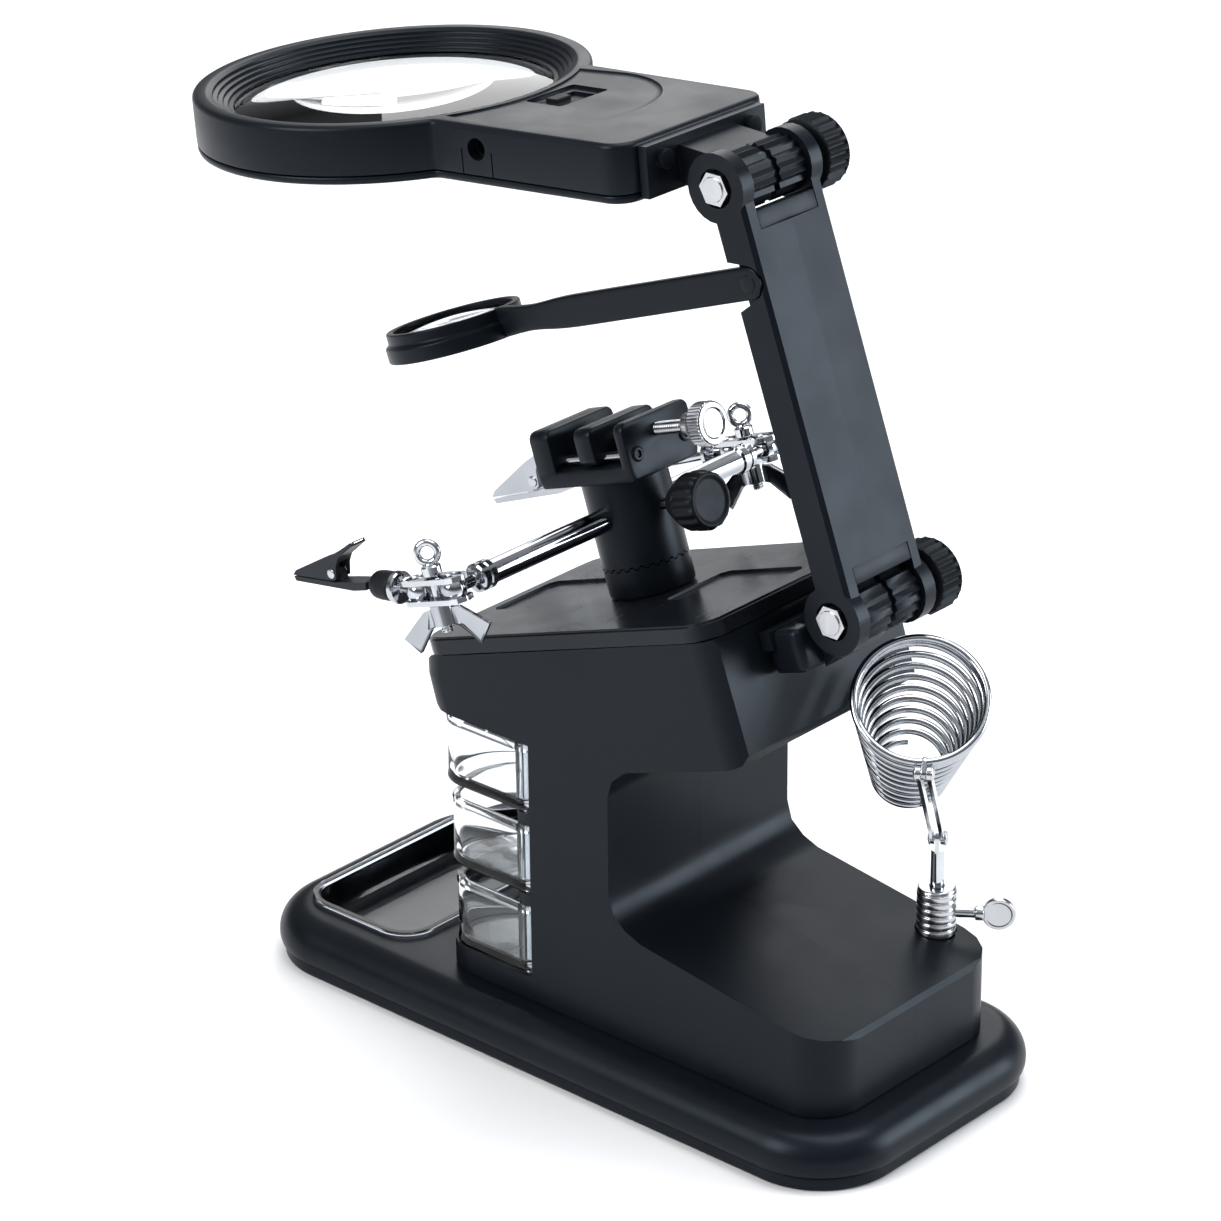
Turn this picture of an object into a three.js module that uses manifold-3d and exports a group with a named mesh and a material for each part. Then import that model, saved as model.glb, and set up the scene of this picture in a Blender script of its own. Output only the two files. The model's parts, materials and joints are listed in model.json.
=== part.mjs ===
// Helping hands magnifier: weighted base with swing-out drawers, hinged arm with a lit
// magnifier head, swing-out aux lens, small board vise, two clip arms and an iron rest.
// Millimetres, +Z up. Origin: centre of the flat underside of the base. +X runs along the
// base to the iron rest, -Y is the side the drawers open to.
import * as THREE from 'three';
import Module from 'manifold-3d';
import { mergeVertices } from 'three/addons/utils/BufferGeometryUtils.js';

const wasm = await Module(); wasm.setup();
const GAP = 0.3;                       // clearance between pieces that touch

// ---- driving dimensions --------------------------------------------------------------
const BASE = { A: 108.8, B: 49.5, r: 25, top: 15.25 };
const W = 37.2;                        // half width of the tower
const TILT = 0.3275;                   // slope of the platform, radians
const ARM = { lo: [79.0, 147.9], hi: [40.0, 255.0], half: 15.5, lug: 9.2 };
const HEAD = { cx: -87.7, cz: 254.8, tilt: 0.0952, R: 54, H: 15.8, end: 108.6 };
const POST = { s: 6.9, r: 11.8 };
const ROD = { r: 3.2, h: 27.5, y0: -62, y1: 48 };
const PIN = { x: -11, y: -33.3, r: 1.5 };
const IRON = { x: 78.9, y: 30.6 };

// ---- small solid library -------------------------------------------------------------
function S(geo) {
  const g = geo.clone();
  g.deleteAttribute('normal'); g.deleteAttribute('uv');
  const m = mergeVertices(g, 1e-4);
  return new wasm.Manifold(new wasm.Mesh({ numProp: 3,
    vertProperties: new Float32Array(m.attributes.position.array),
    triVerts: new Uint32Array(m.index.array) }));
}
const group = new THREE.Group();
group.name = 'helping_hands_magnifier';
function add(name, solid, color, roughness = 0.5, metalness = 0) {
  const m = solid.getMesh(), g = new THREE.BufferGeometry();
  g.setAttribute('position', new THREE.Float32BufferAttribute(m.vertProperties, 3));
  g.setIndex(new THREE.Uint32BufferAttribute(m.triVerts, 1));
  g.computeVertexNormals();
  const mesh = new THREE.Mesh(g, new THREE.MeshStandardMaterial({ color, roughness, metalness }));
  mesh.name = name; group.add(mesh);
}
// the 4x4 placing local axes ex, ey, ez at point p
function frame(p, ex, ey, ez) {
  return new THREE.Matrix4().makeBasis(new THREE.Vector3(...ex), new THREE.Vector3(...ey),
    new THREE.Vector3(...ez)).setPosition(...p);
}
const put = (solid, m4) => solid.transform(m4.elements.slice());
function poly(points, holes = []) {
  const s = new THREE.Shape(points.map(p => new THREE.Vector2(...p)));
  holes.forEach(h => s.holes.push(new THREE.Path(h.map(p => new THREE.Vector2(...p)))));
  return s;
}
const prism = (points, z0, z1) => S(new THREE.ExtrudeGeometry(poly(points),
  { depth: z1 - z0, bevelEnabled: false })).translate([0, 0, z0]);
// a prism of an outline in X and Z, running from y0 to y1
const prismY = (xz, y0, y1) => prism(xz.map(([x, z]) => [x, -z]), y0, y1).rotate([-90, 0, 0]);
const box = (x0, x1, y0, y1, z0, z1) =>
  S(new THREE.BoxGeometry(x1 - x0, y1 - y0, z1 - z0)).translate([(x0 + x1) / 2,
    (y0 + y1) / 2, (z0 + z1) / 2]);
// a ring of points; start turns the first one
function circle(r, n, x = 0, y = 0, start = 0) {
  return Array.from({ length: n }, (_, i) => {
    const t = start + 2 * Math.PI * i / n;
    return [x + r * Math.cos(t), y + r * Math.sin(t)];
  });
}
// round rod along Z, Y or X
const rodZ = (r, z0, z1, x = 0, y = 0, n = 20) => prism(circle(r, n, x, y), z0, z1);
const rodY = (r, y0, y1, x, z, n = 20) => prismY(circle(r, n, x, z), y0, y1);
const rodX = (r, x0, x1, y, z, n = 20) =>
  prism(circle(r, n), x0, x1).rotate([0, 90, 0]).translate([0, y, z]);
const turned = (profile, n = 28) => S(new THREE.LatheGeometry(
  profile.map(p => new THREE.Vector2(...p)), n)).rotate([90, 0, 0]);
const ball = (r, x, y, z) => S(new THREE.SphereGeometry(r, 12, 8)).translate([x, y, z]);
function roundRect(hx, hy, r, n = 5, cx = 0, cy = 0) {
  const out = [];
  [[1, 1, 0], [-1, 1, 1], [-1, -1, 2], [1, -1, 3]].forEach(([sx, sy, q]) => {
    for (let i = 0; i <= n; i++) {
      const t = (q + i / n) * Math.PI / 2;
      out.push([cx + sx * (hx - r) + r * Math.cos(t), cy + sy * (hy - r) + r * Math.sin(t)]);
    }
  });
  return out;
}
// layered body: outlines inset by d at height z, hulled between neighbours
function stack(outline, layers) {
  let out = null;
  for (let i = 0; i + 1 < layers.length; i++) {
    const [d0, z0] = layers[i], [d1, z1] = layers[i + 1];
    const a = prism(outline(d0), z0, z0 + 0.001), b = prism(outline(d1), z1 - 0.001, z1);
    const h = wasm.Manifold.hull([a, b]);
    out = out ? out.add(h) : h;
  }
  return out;
}

// ---- local frames --------------------------------------------------------------------
const ct = Math.cos(TILT), st = Math.sin(TILT);
const ORG = [0, 0, 123.5];             // a point of the tilted body top; s, y, h from here
const P = frame(ORG, [ct, 0, st], [0, 1, 0], [-st, 0, ct]);
const ch = Math.cos(HEAD.tilt), sh = Math.sin(HEAD.tilt);
const H = frame([HEAD.cx, 0, HEAD.cz], [ch, 0, sh], [0, 1, 0], [-sh, 0, ch]);
const AX = ARM.hi[0] - ARM.lo[0], AZ = ARM.hi[1] - ARM.lo[1], AL = Math.hypot(AX, AZ);
// arm frame: x across (front is +), y as the row, z along the arm from the lower hinge
const A = frame([ARM.lo[0], 0, ARM.lo[1]], [AZ / AL, 0, -AX / AL], [0, 1, 0],
  [AX / AL, 0, AZ / AL]);
const HINGE = [                        // the upper hinge in head coordinates
  (ARM.hi[0] - HEAD.cx) * ch + (ARM.hi[1] - HEAD.cz) * sh,
  -(ARM.hi[0] - HEAD.cx) * sh + (ARM.hi[1] - HEAD.cz) * ch];

const BLACK = 0x15181d, CHROME = 0xc9ccd0, CLEAR = 0xdfe6ea;

// ---- base ----------------------------------------------------------------------------
function base() {
  const line = d => roundRect(BASE.A - d, BASE.B - d, BASE.r - d, 7);
  let shell = stack(line, [[1.0, 4.2], [0, 5.4], [0, 9.5], [1.2, 12.6], [3.6, 14.6], [6.5, 15.25]]);
  shell = shell.subtract(prism(roundRect(75, 44, 18, 4, 26, 0), 4, 12.4));
  shell = shell.subtract(prism(roundRect(21, 35.5, 9.5, 4, -77.5, 0), 5.6, 16));
  add('base_shell', shell, BLACK, 0.42);
  add('base_bottom', prism(line(1.4), 0, 3.9), BLACK, 0.5);
  add('base_weight', prism(roundRect(62, 38, 6, 2, 20, 0), 4.2, 9.2), 0x6b6e72, 0.5, 0.9);
  const tray = stack(d => roundRect(20.6 - d, 35.1 - d, 9.1 - d, 4, -77.5, 0),
    [[2.2, 6.0], [0.2, 8.5], [0, 14.9]])
    .add(prism(roundRect(22.6, 37.1, 10.6, 4, -77.5, 0), 15.55, 17.0))
    .add(prism(roundRect(20.6, 35.1, 9.1, 4, -77.5, 0), 14.9, 15.6))
    .subtract(stack(d => roundRect(19 - d, 33.5 - d, 7.6 - d, 4, -77.5, 0),
      [[2.0, 7.6], [0, 9.5], [0, 17.5]]));
  add('sponge_tray', tray, CLEAR, 0.08);
}

// ---- tower ---------------------------------------------------------------------------
const BAY = { x1: -7.4, z0: 22.6, z1: 93.2 };
const LUGS = [[44.0, 47.5], [68.5, 72.0]];
function tower() {
  const side = [[-39.5, 15.55], [96.4, 15.55], [96.4, 36.8], [95.2, 38.3],
    [32.2, 47.15], [26.9, 49.2], [22.7, 52.7], [21.1, 58.2], [21.1, 87.2], [22.6, 92.2], [27.1, 96.3],
    [62.9, 108.55], [66.2, 110.3], [67.2, 113.2], [57.2, 141.3], [56.0, 142.6], [54.4, 142.1],
    [-43.6, 108.57], [-46.2, 106.5], [-46, 103.5], [-43.6, 91], [-41.2, 73.6], [-39.8, 47.9], [-39.5, 22]];
  const plan = roundRect(73, W, 10, 4, 23.4, 0);
  const outline = prismY(side, -W, W).intersect(prism(plan, 0, 200));
  const platform = prism(roundRect(58.5, W, 10, 4, 4.5, 0), -80, 60);
  const upper = put(platform, P).intersect(box(-80, 120, -60, 60, 90, 220));
  const lowEnd = prism(roundRect(70, W, 12.8, 4, 26.4, 0), 0, 100);
  const body = outline.intersect(upper.add(lowEnd.intersect(box(-80, 120, -60, 60, 0, 96))));
  // hollow: a store under the lid and a room in the foot
  const store = put(box(-42, 52, -33, 33, -24, 1).subtract(rodZ(9, -30, 2, POST.s, 0, 16)), P);
  const bay = prismY([[-60, BAY.z0], [BAY.x1, BAY.z0], [BAY.x1, BAY.z1], [-60, BAY.z1]], -60, 34);
  const foot = box(-4, 90, -33, 33, 15, 34).intersect(prismY(
    [[-6, 10], [92, 10], [92, 33.5], [24, 42.5], [-6, 42.5]], -50, 50));
  let hollow = body.subtract(store).subtract(bay).subtract(foot)
    .subtract(box(-1.5, 16.5, -33, 33, 30, 90));
  for (const [z0, z1] of LUGS)
    hollow = hollow.add(box(-8, -7, -36, -25, z0, z1)).add(
      prism([[-7, -25.5], [-7, -36.4], [-11.5, -36.4], [-13.3, -35.4], [-14, -33.3],
        [-13.3, -30.8], [-9, -25.5]], z0, z1));
  hollow = hollow.subtract(rodZ(PIN.r + 0.1, 18, 98, PIN.x, PIN.y, 16));
  // sockets for the iron rest and the post
  hollow = hollow.subtract(rodZ(2.2, 30, 60, IRON.x, IRON.y, 12))
    .subtract(rodZ(5.8, 39.6, 60, IRON.x, IRON.y, 24))
    .subtract(put(rodZ(3.3, -20, 5, POST.s, 0, 12), P));
  add('body_near', hollow.subtract(box(-200, 200, -0.15, 200, -10, 300)), BLACK, 0.42);
  add('body_far', hollow.subtract(box(-200, 200, -200, 0.15, -10, 300)), BLACK, 0.42);
  add('drawer_pin', rodZ(PIN.r, 18.3, 97, PIN.x, PIN.y, 16), CHROME, 0.25, 1);
  const lidPlan = roundRect(54.0, 37.6, 8, 4, 5.5, 0);
  let lid = prism(lidPlan, 0.3, 4.4).add(prism(roundRect(53.2, 36.8, 7.2, 4, 5.5, 0), 4.3, 5.0));
  lid = lid.subtract(prism(roundRect(20, 12.6, 2, 1, -24, 0), 4.2, 6))
    .subtract(prism(roundRect(15, 12.6, 2, 1, 37, 0), 4.2, 6))
    .subtract(rodZ(3.3, -1, 6, POST.s, 0, 12));
  add('lid', put(lid, P), BLACK, 0.3);
}

// ---- three swing-out drawers -----------------------------------------------------------
function drawers() {
  const rows = [['drawer_low', BAY.z0 + GAP, 43.7, -39.6], ['drawer_mid', 47.8, 68.2, -40.6],
    ['drawer_top', 72.3, 92.7, -42.2]];
  for (const [name, z0, z1, x0] of rows) {
    const x1 = -8.0, y0 = -37.0, y1 = 33.4, t = 1.7;
    let d = prism([[x0 + 2, y0], [x1 - 2.5, y0], [x1, y0 + 2.5], [x1, -29], [-13, -27], [-13, y1],
      [x0 + 2, y1], [x0, y1 - 2], [x0, y0 + 2]], z0, z1);
    d = d.subtract(box(x0 + t, -15.2, y0 + t, -3, z0 + t, z1 + 1));
    d = d.subtract(box(x0 + t, -15.2, -3 + t, y1 - t, z0 + t, z1 + 1));
    d = d.subtract(rodZ(PIN.r + 0.1, z0 - 1, z1 + 1, PIN.x, PIN.y, 16));
    add(name, d, CLEAR, 0.08);
  }
}

// ---- hinges and arm --------------------------------------------------------------------
const BOLT = 2.6;
// toothed barrel along Y, split in the middle
function barrel(r, half, teeth) {
  const out = [];
  for (let i = 0; i < teeth; i++)
    for (const [k, q] of [[0, 0], [0.5, -0.8]]) {
      const t = 2 * Math.PI * (i + k) / teeth;
      out.push([(r + q) * Math.cos(t), (r + q) * Math.sin(t)]);
    }
  return prismY(out, -half, -1).add(prismY(out, 1, half)).add(rodY(r - 1.6, -2, 2, 0, 0, 20));
}
function hinges() {
  const lo = ARM.lo;
  // lower block: flange on the platform's end, arm-wide barrel
  const toP = ([x, z]) => [(x - ORG[0]) * ct + (z - ORG[2]) * st, -(x - ORG[0]) * st + (z - ORG[2]) * ct];
  const [s, h] = toP(lo);
  let block = box(60.6, 64.2, -20, 20, -24, -3).add(
    prismY([[63, -22], [s - 2, h - 7.4], [s + 4, h - 3], [s, h + 6], [s - 5, h + 6.4], [63, -4.5]], -10.9, 10.9));
  block = put(block, P).add(barrel(8.2, 10.9, 18).translate([lo[0], 0, lo[1]]))
    .subtract(rodY(BOLT + 0.08, -20, 20, lo[0], lo[1], 24));
  add('hinge_block', block, BLACK, 0.45);
  const [e, k] = HINGE;
  let head = box(108.9, 111.6, -23, 23, -14.8, -1.2).add(
    prismY([[111, -13], [e - 2, k - 6.8], [e, k + 6.4], [e - 5, k + 7], [111, -3.4]], -10.9, 10.9));
  for (const y of [-17, 17]) head = head.add(rodX(2.6, 111, 113.4, y, -5.5, 12));
  head = put(head, H).add(barrel(7.8, 10.9, 18).translate([ARM.hi[0], 0, ARM.hi[1]]))
    .subtract(rodY(BOLT + 0.08, -20, 20, ARM.hi[0], ARM.hi[1], 24));
  add('head_hinge', head, BLACK, 0.45);
}
const AUX = { x: 50.7, z: 232.3, ang: 0.354, r: 19.7, len: 110.3 };
function arm() {
  const b = ARM.half, i = 11.2;
  // beam section in across and row Y, from hinge to hinge
  const sec = [[-2.7, -b], [6.4, -b], [7.4, -b + 1.2], [8.2, 0], [7.4, b - 1.2], [6.4, b], [-2.7, b]];
  let beam = prism(sec, 0, AL);
  const ears = prismY(circle(ARM.lug, 24), -b, b).add(prismY(circle(ARM.lug, 24, 0, AL), -b, b));
  beam = beam.add(ears);
  beam = beam.subtract(box(-20, 20, -i, i, -20, 12.6)).subtract(box(-20, 20, -i, i, AL - 12.6, AL + 20));
  beam = beam.subtract(box(-5, 5.2, -i, i, 14.5, AL - 34)); // open channel at the back
  beam = beam.subtract(prismY(circle(BOLT + 0.25, 16), -20, 20))
    .subtract(prismY(circle(BOLT + 0.25, 16, 0, AL), -20, 20));
  for (const z of [0, AL]) beam = beam.subtract(prismY(circle(5.2, 20, 0, z), -b - 1, -b + 1.8));
  let a = put(beam, A);
  // pocket for the swing-out lens bar, on the near side
  for (const t of [-20, -7, 6, 15]) {
    const bar = box(-30, 0, -b - 1, -b + 3.9, -4.7, 4.7).add(rodY(4.75, -b - 1, -b + 3.9, 0, 0, 14));
    a = a.subtract(bar.rotate([0, -AUX.ang * 180 / Math.PI + t, 0]).translate([AUX.x, 0, AUX.z]));
  }
  a = a.subtract(rodY(1.5, -b - 1, -8, AUX.x, AUX.z, 16));
  add('arm', a, BLACK, 0.42);
  for (const [n, [x, z]] of [['lower', ARM.lo], ['upper', ARM.hi]]) {
    add(n + '_bolt', prismY(circle(4.7, 6, x, z), -b - 0.9, -b + 1.5)
      .add(rodY(BOLT, -b, 24, x, z, 24)).add(rodY(3.3, -b - 1.3, -b - 0.8, x, z, 12)), CHROME, 0.3, 1);
    const knurl = Array.from({ length: 48 }, (_, q) => {
      const t = Math.PI * 2 * q / 48, r = q % 2 ? 9.9 : 9.0;
      return [x + r * Math.cos(t), z + r * Math.sin(t)];
    });
    add(n + '_knob', prismY(knurl, 18.2, 26.3).add(rodY(6.2, b + GAP, 19, x, z, 20))
      .subtract(rodY(BOLT + 0.08, 0, 24.3, x, z, 24)), BLACK, 0.5);
  }
}
// ---- swing-out small lens: local x points away from the lens, z is its optical axis ------
function auxLens() {
  const b = ARM.half;
  const F = frame([AUX.x, -b + 1.75, AUX.z], [Math.cos(AUX.ang), 0, Math.sin(AUX.ang)], [0, 1, 0],
    [-Math.sin(AUX.ang), 0, Math.cos(AUX.ang)]);
  const c = -AUX.len;
  let f = box(c + AUX.r - 2, 0, -1.75, 1.75, -4.3, 4.3).add(rodY(4.3, -1.75, 1.75, 0, 0, 20));
  f = f.add(rodZ(AUX.r, -4.2, 0.6, c, 0, 32)).add(rodZ(AUX.r - 1.1, 0.5, 3.8, c, 0, 32));
  f = f.subtract(rodZ(17.4, -6, 2.2, c, 0, 32)).subtract(rodZ(16.6, 2, 6, c, 0, 32))
    .subtract(rodY(1.3, -5, 5, 0, 0, 16));
  add('aux_frame', put(f, F), BLACK, 0.42);
  const lens = turned([[0, -2.6], [7, -2.1], [13, -0.8], [17, 0.6], [17, 1.8], [13, 2.6], [7, 3.6],
    [0, 4.0]], 28).translate([c, 0, -0.4]);
  add('aux_lens', put(lens.intersect(rodZ(17, -9, 9, c, 0, 28)), F), CLEAR, 0.03);
  add('aux_pin', rodY(1.2, -b + 0.2, -9, AUX.x, AUX.z, 16), CHROME, 0.3, 1);
}

// ---- magnifier head: local x toward the hinge, z out of the top --------------------------
const DOOR = [56, 103, 17.5];
function head() {
  const bodyPlan = [[30, -30.8], [101, -29.6], [106, -27.6], [108.6, -23], [108.6, 23], [106, 27.6],
    [101, 29.6], [30, 30.8]];
  const low = -HEAD.H, mid = -13.3;
  let shell = prism(circle(HEAD.R, 40), mid, -1).add(prism(circle(HEAD.R - 1.2, 40), -1.2, 0))
    .add(prism(bodyPlan, mid, 0));
  shell = shell.subtract(box(57, 106, -27, 27, mid - 1, -2.8).add(box(67, 106, -27, 27, -3, -2.2))).subtract(box(50, 58, -20, 26, mid - 1, -5))
    .subtract(stack(d => circle(49.4 - d, 40), [[6.2, -5.6], [3.2, -3.2], [2.2, -3.0], [0, 0.001], [0, 1]]))
    .subtract(rodZ(45.4, -14, -5.5, 0, 0, 40))
    .subtract(rodZ(52.2, -14, -11.4, 0, 0, 32).subtract(rodZ(46.4, -15, -11, 0, 0, 32)))
    .subtract(box(52.5, 66.5, -5, 14.5, -1.4, 1));
  shell = shell.subtract(box(54, 64, -3, 12.5, -2.8, 1));
  shell = shell.subtract(rodY(3.0, -40, -26, 59.4, -6.2, 16)).subtract(box(54.2, 64.6, -27.4, -16.6, -14, -1.4));
  add('head_shell', put(shell, H), BLACK, 0.42);
  let floor = prism(circle(HEAD.R - 0.2, 40), low + 0.8, mid - GAP)
    .add(prism(circle(HEAD.R - 1.2, 40), low, low + 1)).add(prism(bodyPlan.map(([x, y]) => [x, y]), low, mid - GAP))
    .subtract(rodZ(43.6, -20, 0, 0, 0, 40)).subtract(box(DOOR[0], DOOR[1], -DOOR[2], DOOR[2], -20, 0));
  for (let i = 0; i < 8; i++) {
    const t = (i + 0.5) * Math.PI / 4;
    floor = floor.subtract(rodZ(2.7, -20, 0, 49.2 * Math.cos(t), 49.2 * Math.sin(t), 10));
  }
  add('head_base', put(floor, H), BLACK, 0.45);
  add('battery_door', put(box(DOOR[0] + 0.4, DOOR[1] - 0.4, -DOOR[2] + 0.4, DOOR[2] - 0.4, low + 0.1, mid - 0.2), H),
    BLACK, 0.5);
  const lens = turned([[0, -12.2], [15, -11.7], [30, -10.2], [41, -8.3], [45, -7.9], [45, -5.9], [42.8, -5.9],
    [30, -4.1], [15, -2.6], [0, -2.1]], 40);
  add('main_lens', put(lens, H), CLEAR, 0.02);
  add('lens_retainer', put(rodZ(45.1, -13.2, -9.2, 0, 0, 40).subtract(rodZ(43.5, -20, 0, 0, 0, 40)), H), BLACK, 0.4);
  let leds = rodZ(52, -12.6, -11.6, 0, 0, 32).subtract(rodZ(46.7, -20, 0, 0, 0, 32));
  for (let i = 0; i < 8; i++) {
    const t = (i + 0.5) * Math.PI / 4;
    leds = leds.add(rodZ(2.2, -15.3, -12, 49.2 * Math.cos(t), 49.2 * Math.sin(t), 8));
  }
  add('led_ring', put(leds, H), 0xe8e6d8, 0.4);
  const sw = box(54.4, 63.6, -2.4, 6, -2.5, -1.6).add(box(57, 61, -1, 4.6, -1.7, -0.2));
  add('switch_slider', put(sw.translate([0, 0.2, 0]), H), BLACK, 0.5);
  const jack = box(54.5, 64.3, -27.1, -17, -11.5, -1.7).subtract(rodY(2.7, -40, -19, 59.4, -6.2, 16))
    .add(rodY(0.7, -26, -18, 59.4, -6.2, 8));
  add('dc_jack', put(jack, H), 0x101214, 0.5);
  for (let i = 0; i < 3; i++) {
    const y = (i - 1) * 11;
    const cell = rodX(5.1, 58.5, 101.4, y, -7.9, 16).add(rodX(1.9, 101, 102.4, y, -7.9, 10));
    add('battery_' + (i + 1), put(cell, H), 0x9a9da0, 0.35, 0.6);
  }
}

// ---- post, vise and cross rod (tilted platform frame) ------------------------------------
function vise() {
  const s = POST.s, R = POST.r;
  let cup = turned([[0, 5.3], [R, 5.3], [R, 13.2], [0, 13.2]], 28).subtract(rodZ(3.3, 11, 20, 0, 0, 20));
  cup = cup.add(rodZ(2.9, -10, 5.4, 0, 0, 12));
  add('post_cup', put(cup.translate([s, 0, 0]), P), BLACK, 0.45);
  let v = turned([[0, 13.5], [R, 13.5], [R, 37.6], [0, 37.6]], 28)
    .add(rodZ(3.2, 11.3, 14, 0, 0, 20)).translate([s, 0, 0]);
  const yv = 13.3;
  v = v.add(prismY([[-9.6, 37.4], [-11.6, 40.2], [-11.6, 51.8], [-10.4, 53.3], [-4.6, 53.3], [-4.6, 42],
    [20.2, 42], [20.2, 53.3], [22.4, 53.3], [23.4, 52.4], [23.4, 37.4]], -yv, yv));
  v = v.subtract(rodY(ROD.r + 0.1, -30, 30, s, ROD.h, 24)).subtract(rodX(1.6, s, 40, 0, 28, 16))
    .subtract(rodX(1.85, 19, 30, 0, 48.5, 16));
  for (const y of [-9.4, 9.4]) v = v.subtract(rodX(1.35, -8, 30, y, 44.3, 12));
  add('vise_body', put(v, P), BLACK, 0.45);
  let jaw = box(4.8, 10.8, -yv, yv, 42.3, 52.8).subtract(rodX(1.85, 7, 30, 0, 48.5, 16));
  for (const y of [-9.4, 9.4]) jaw = jaw.subtract(rodX(1.35, 0, 30, y, 44.3, 12));
  add('vise_jaw', put(jaw, P), BLACK, 0.45);
  [-9.4, 9.4].forEach((y, i) => add('guide_rod_' + (i + 1), put(rodX(1.25, -7.7, 23, y, 44.3, 12), P),
    CHROME, 0.2, 1));
  const wheel = Array.from({ length: 36 }, (_, q) => {
    const t = Math.PI * 2 * q / 36, r = q % 2 ? 6.1 : 5.6;
    return [r * Math.cos(t), r * Math.sin(t)];
  });
  const screw = rodX(1.7, 7.4, 40, 0, 0, 16).add(rodX(3.3, 34.6, 39.2, 0, 0, 16))
    .add(prism(wheel, 38.8, 44.2).rotate([0, 90, 0]));
  add('vise_screw', put(screw.translate([0, 0, 48.5]), P), CHROME, 0.2, 1);
  let rod = rodY(ROD.r, ROD.y0 + 5, ROD.y1 - 5, 0, 0, 24).add(rodY(3.9, ROD.y0 + 1, ROD.y0 + 6, 0, 0, 20))
    .add(rodY(3.9, ROD.y1 - 6, ROD.y1 - 1, 0, 0, 20)).add(rodY(1.7, ROD.y0 - 6, ROD.y1 + 6, 0, 0, 12))
    .add(ball(3.5, 0, ROD.y0 - 7, 0)).add(ball(3.5, 0, ROD.y1 + 7, 0));
  add('cross_rod', put(rod.translate([s, 0, ROD.h]), P), CHROME, 0.12, 1);
  const k0 = 22.6;
  const knob = turned([[0, k0], [3.6, k0], [7.8, k0 + 6.2], [8.2, k0 + 8], [8.2, k0 + 12.6],
    [7.4, k0 + 13.8], [0, k0 + 13.8]], 28).add(rodZ(1.5, s + 3.6, k0 + 1, 0, 0, 16));
  add('rod_knob', put(knob.rotate([0, 90, 0]).translate([0, 0, 28]), P), BLACK, 0.45);
}

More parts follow.
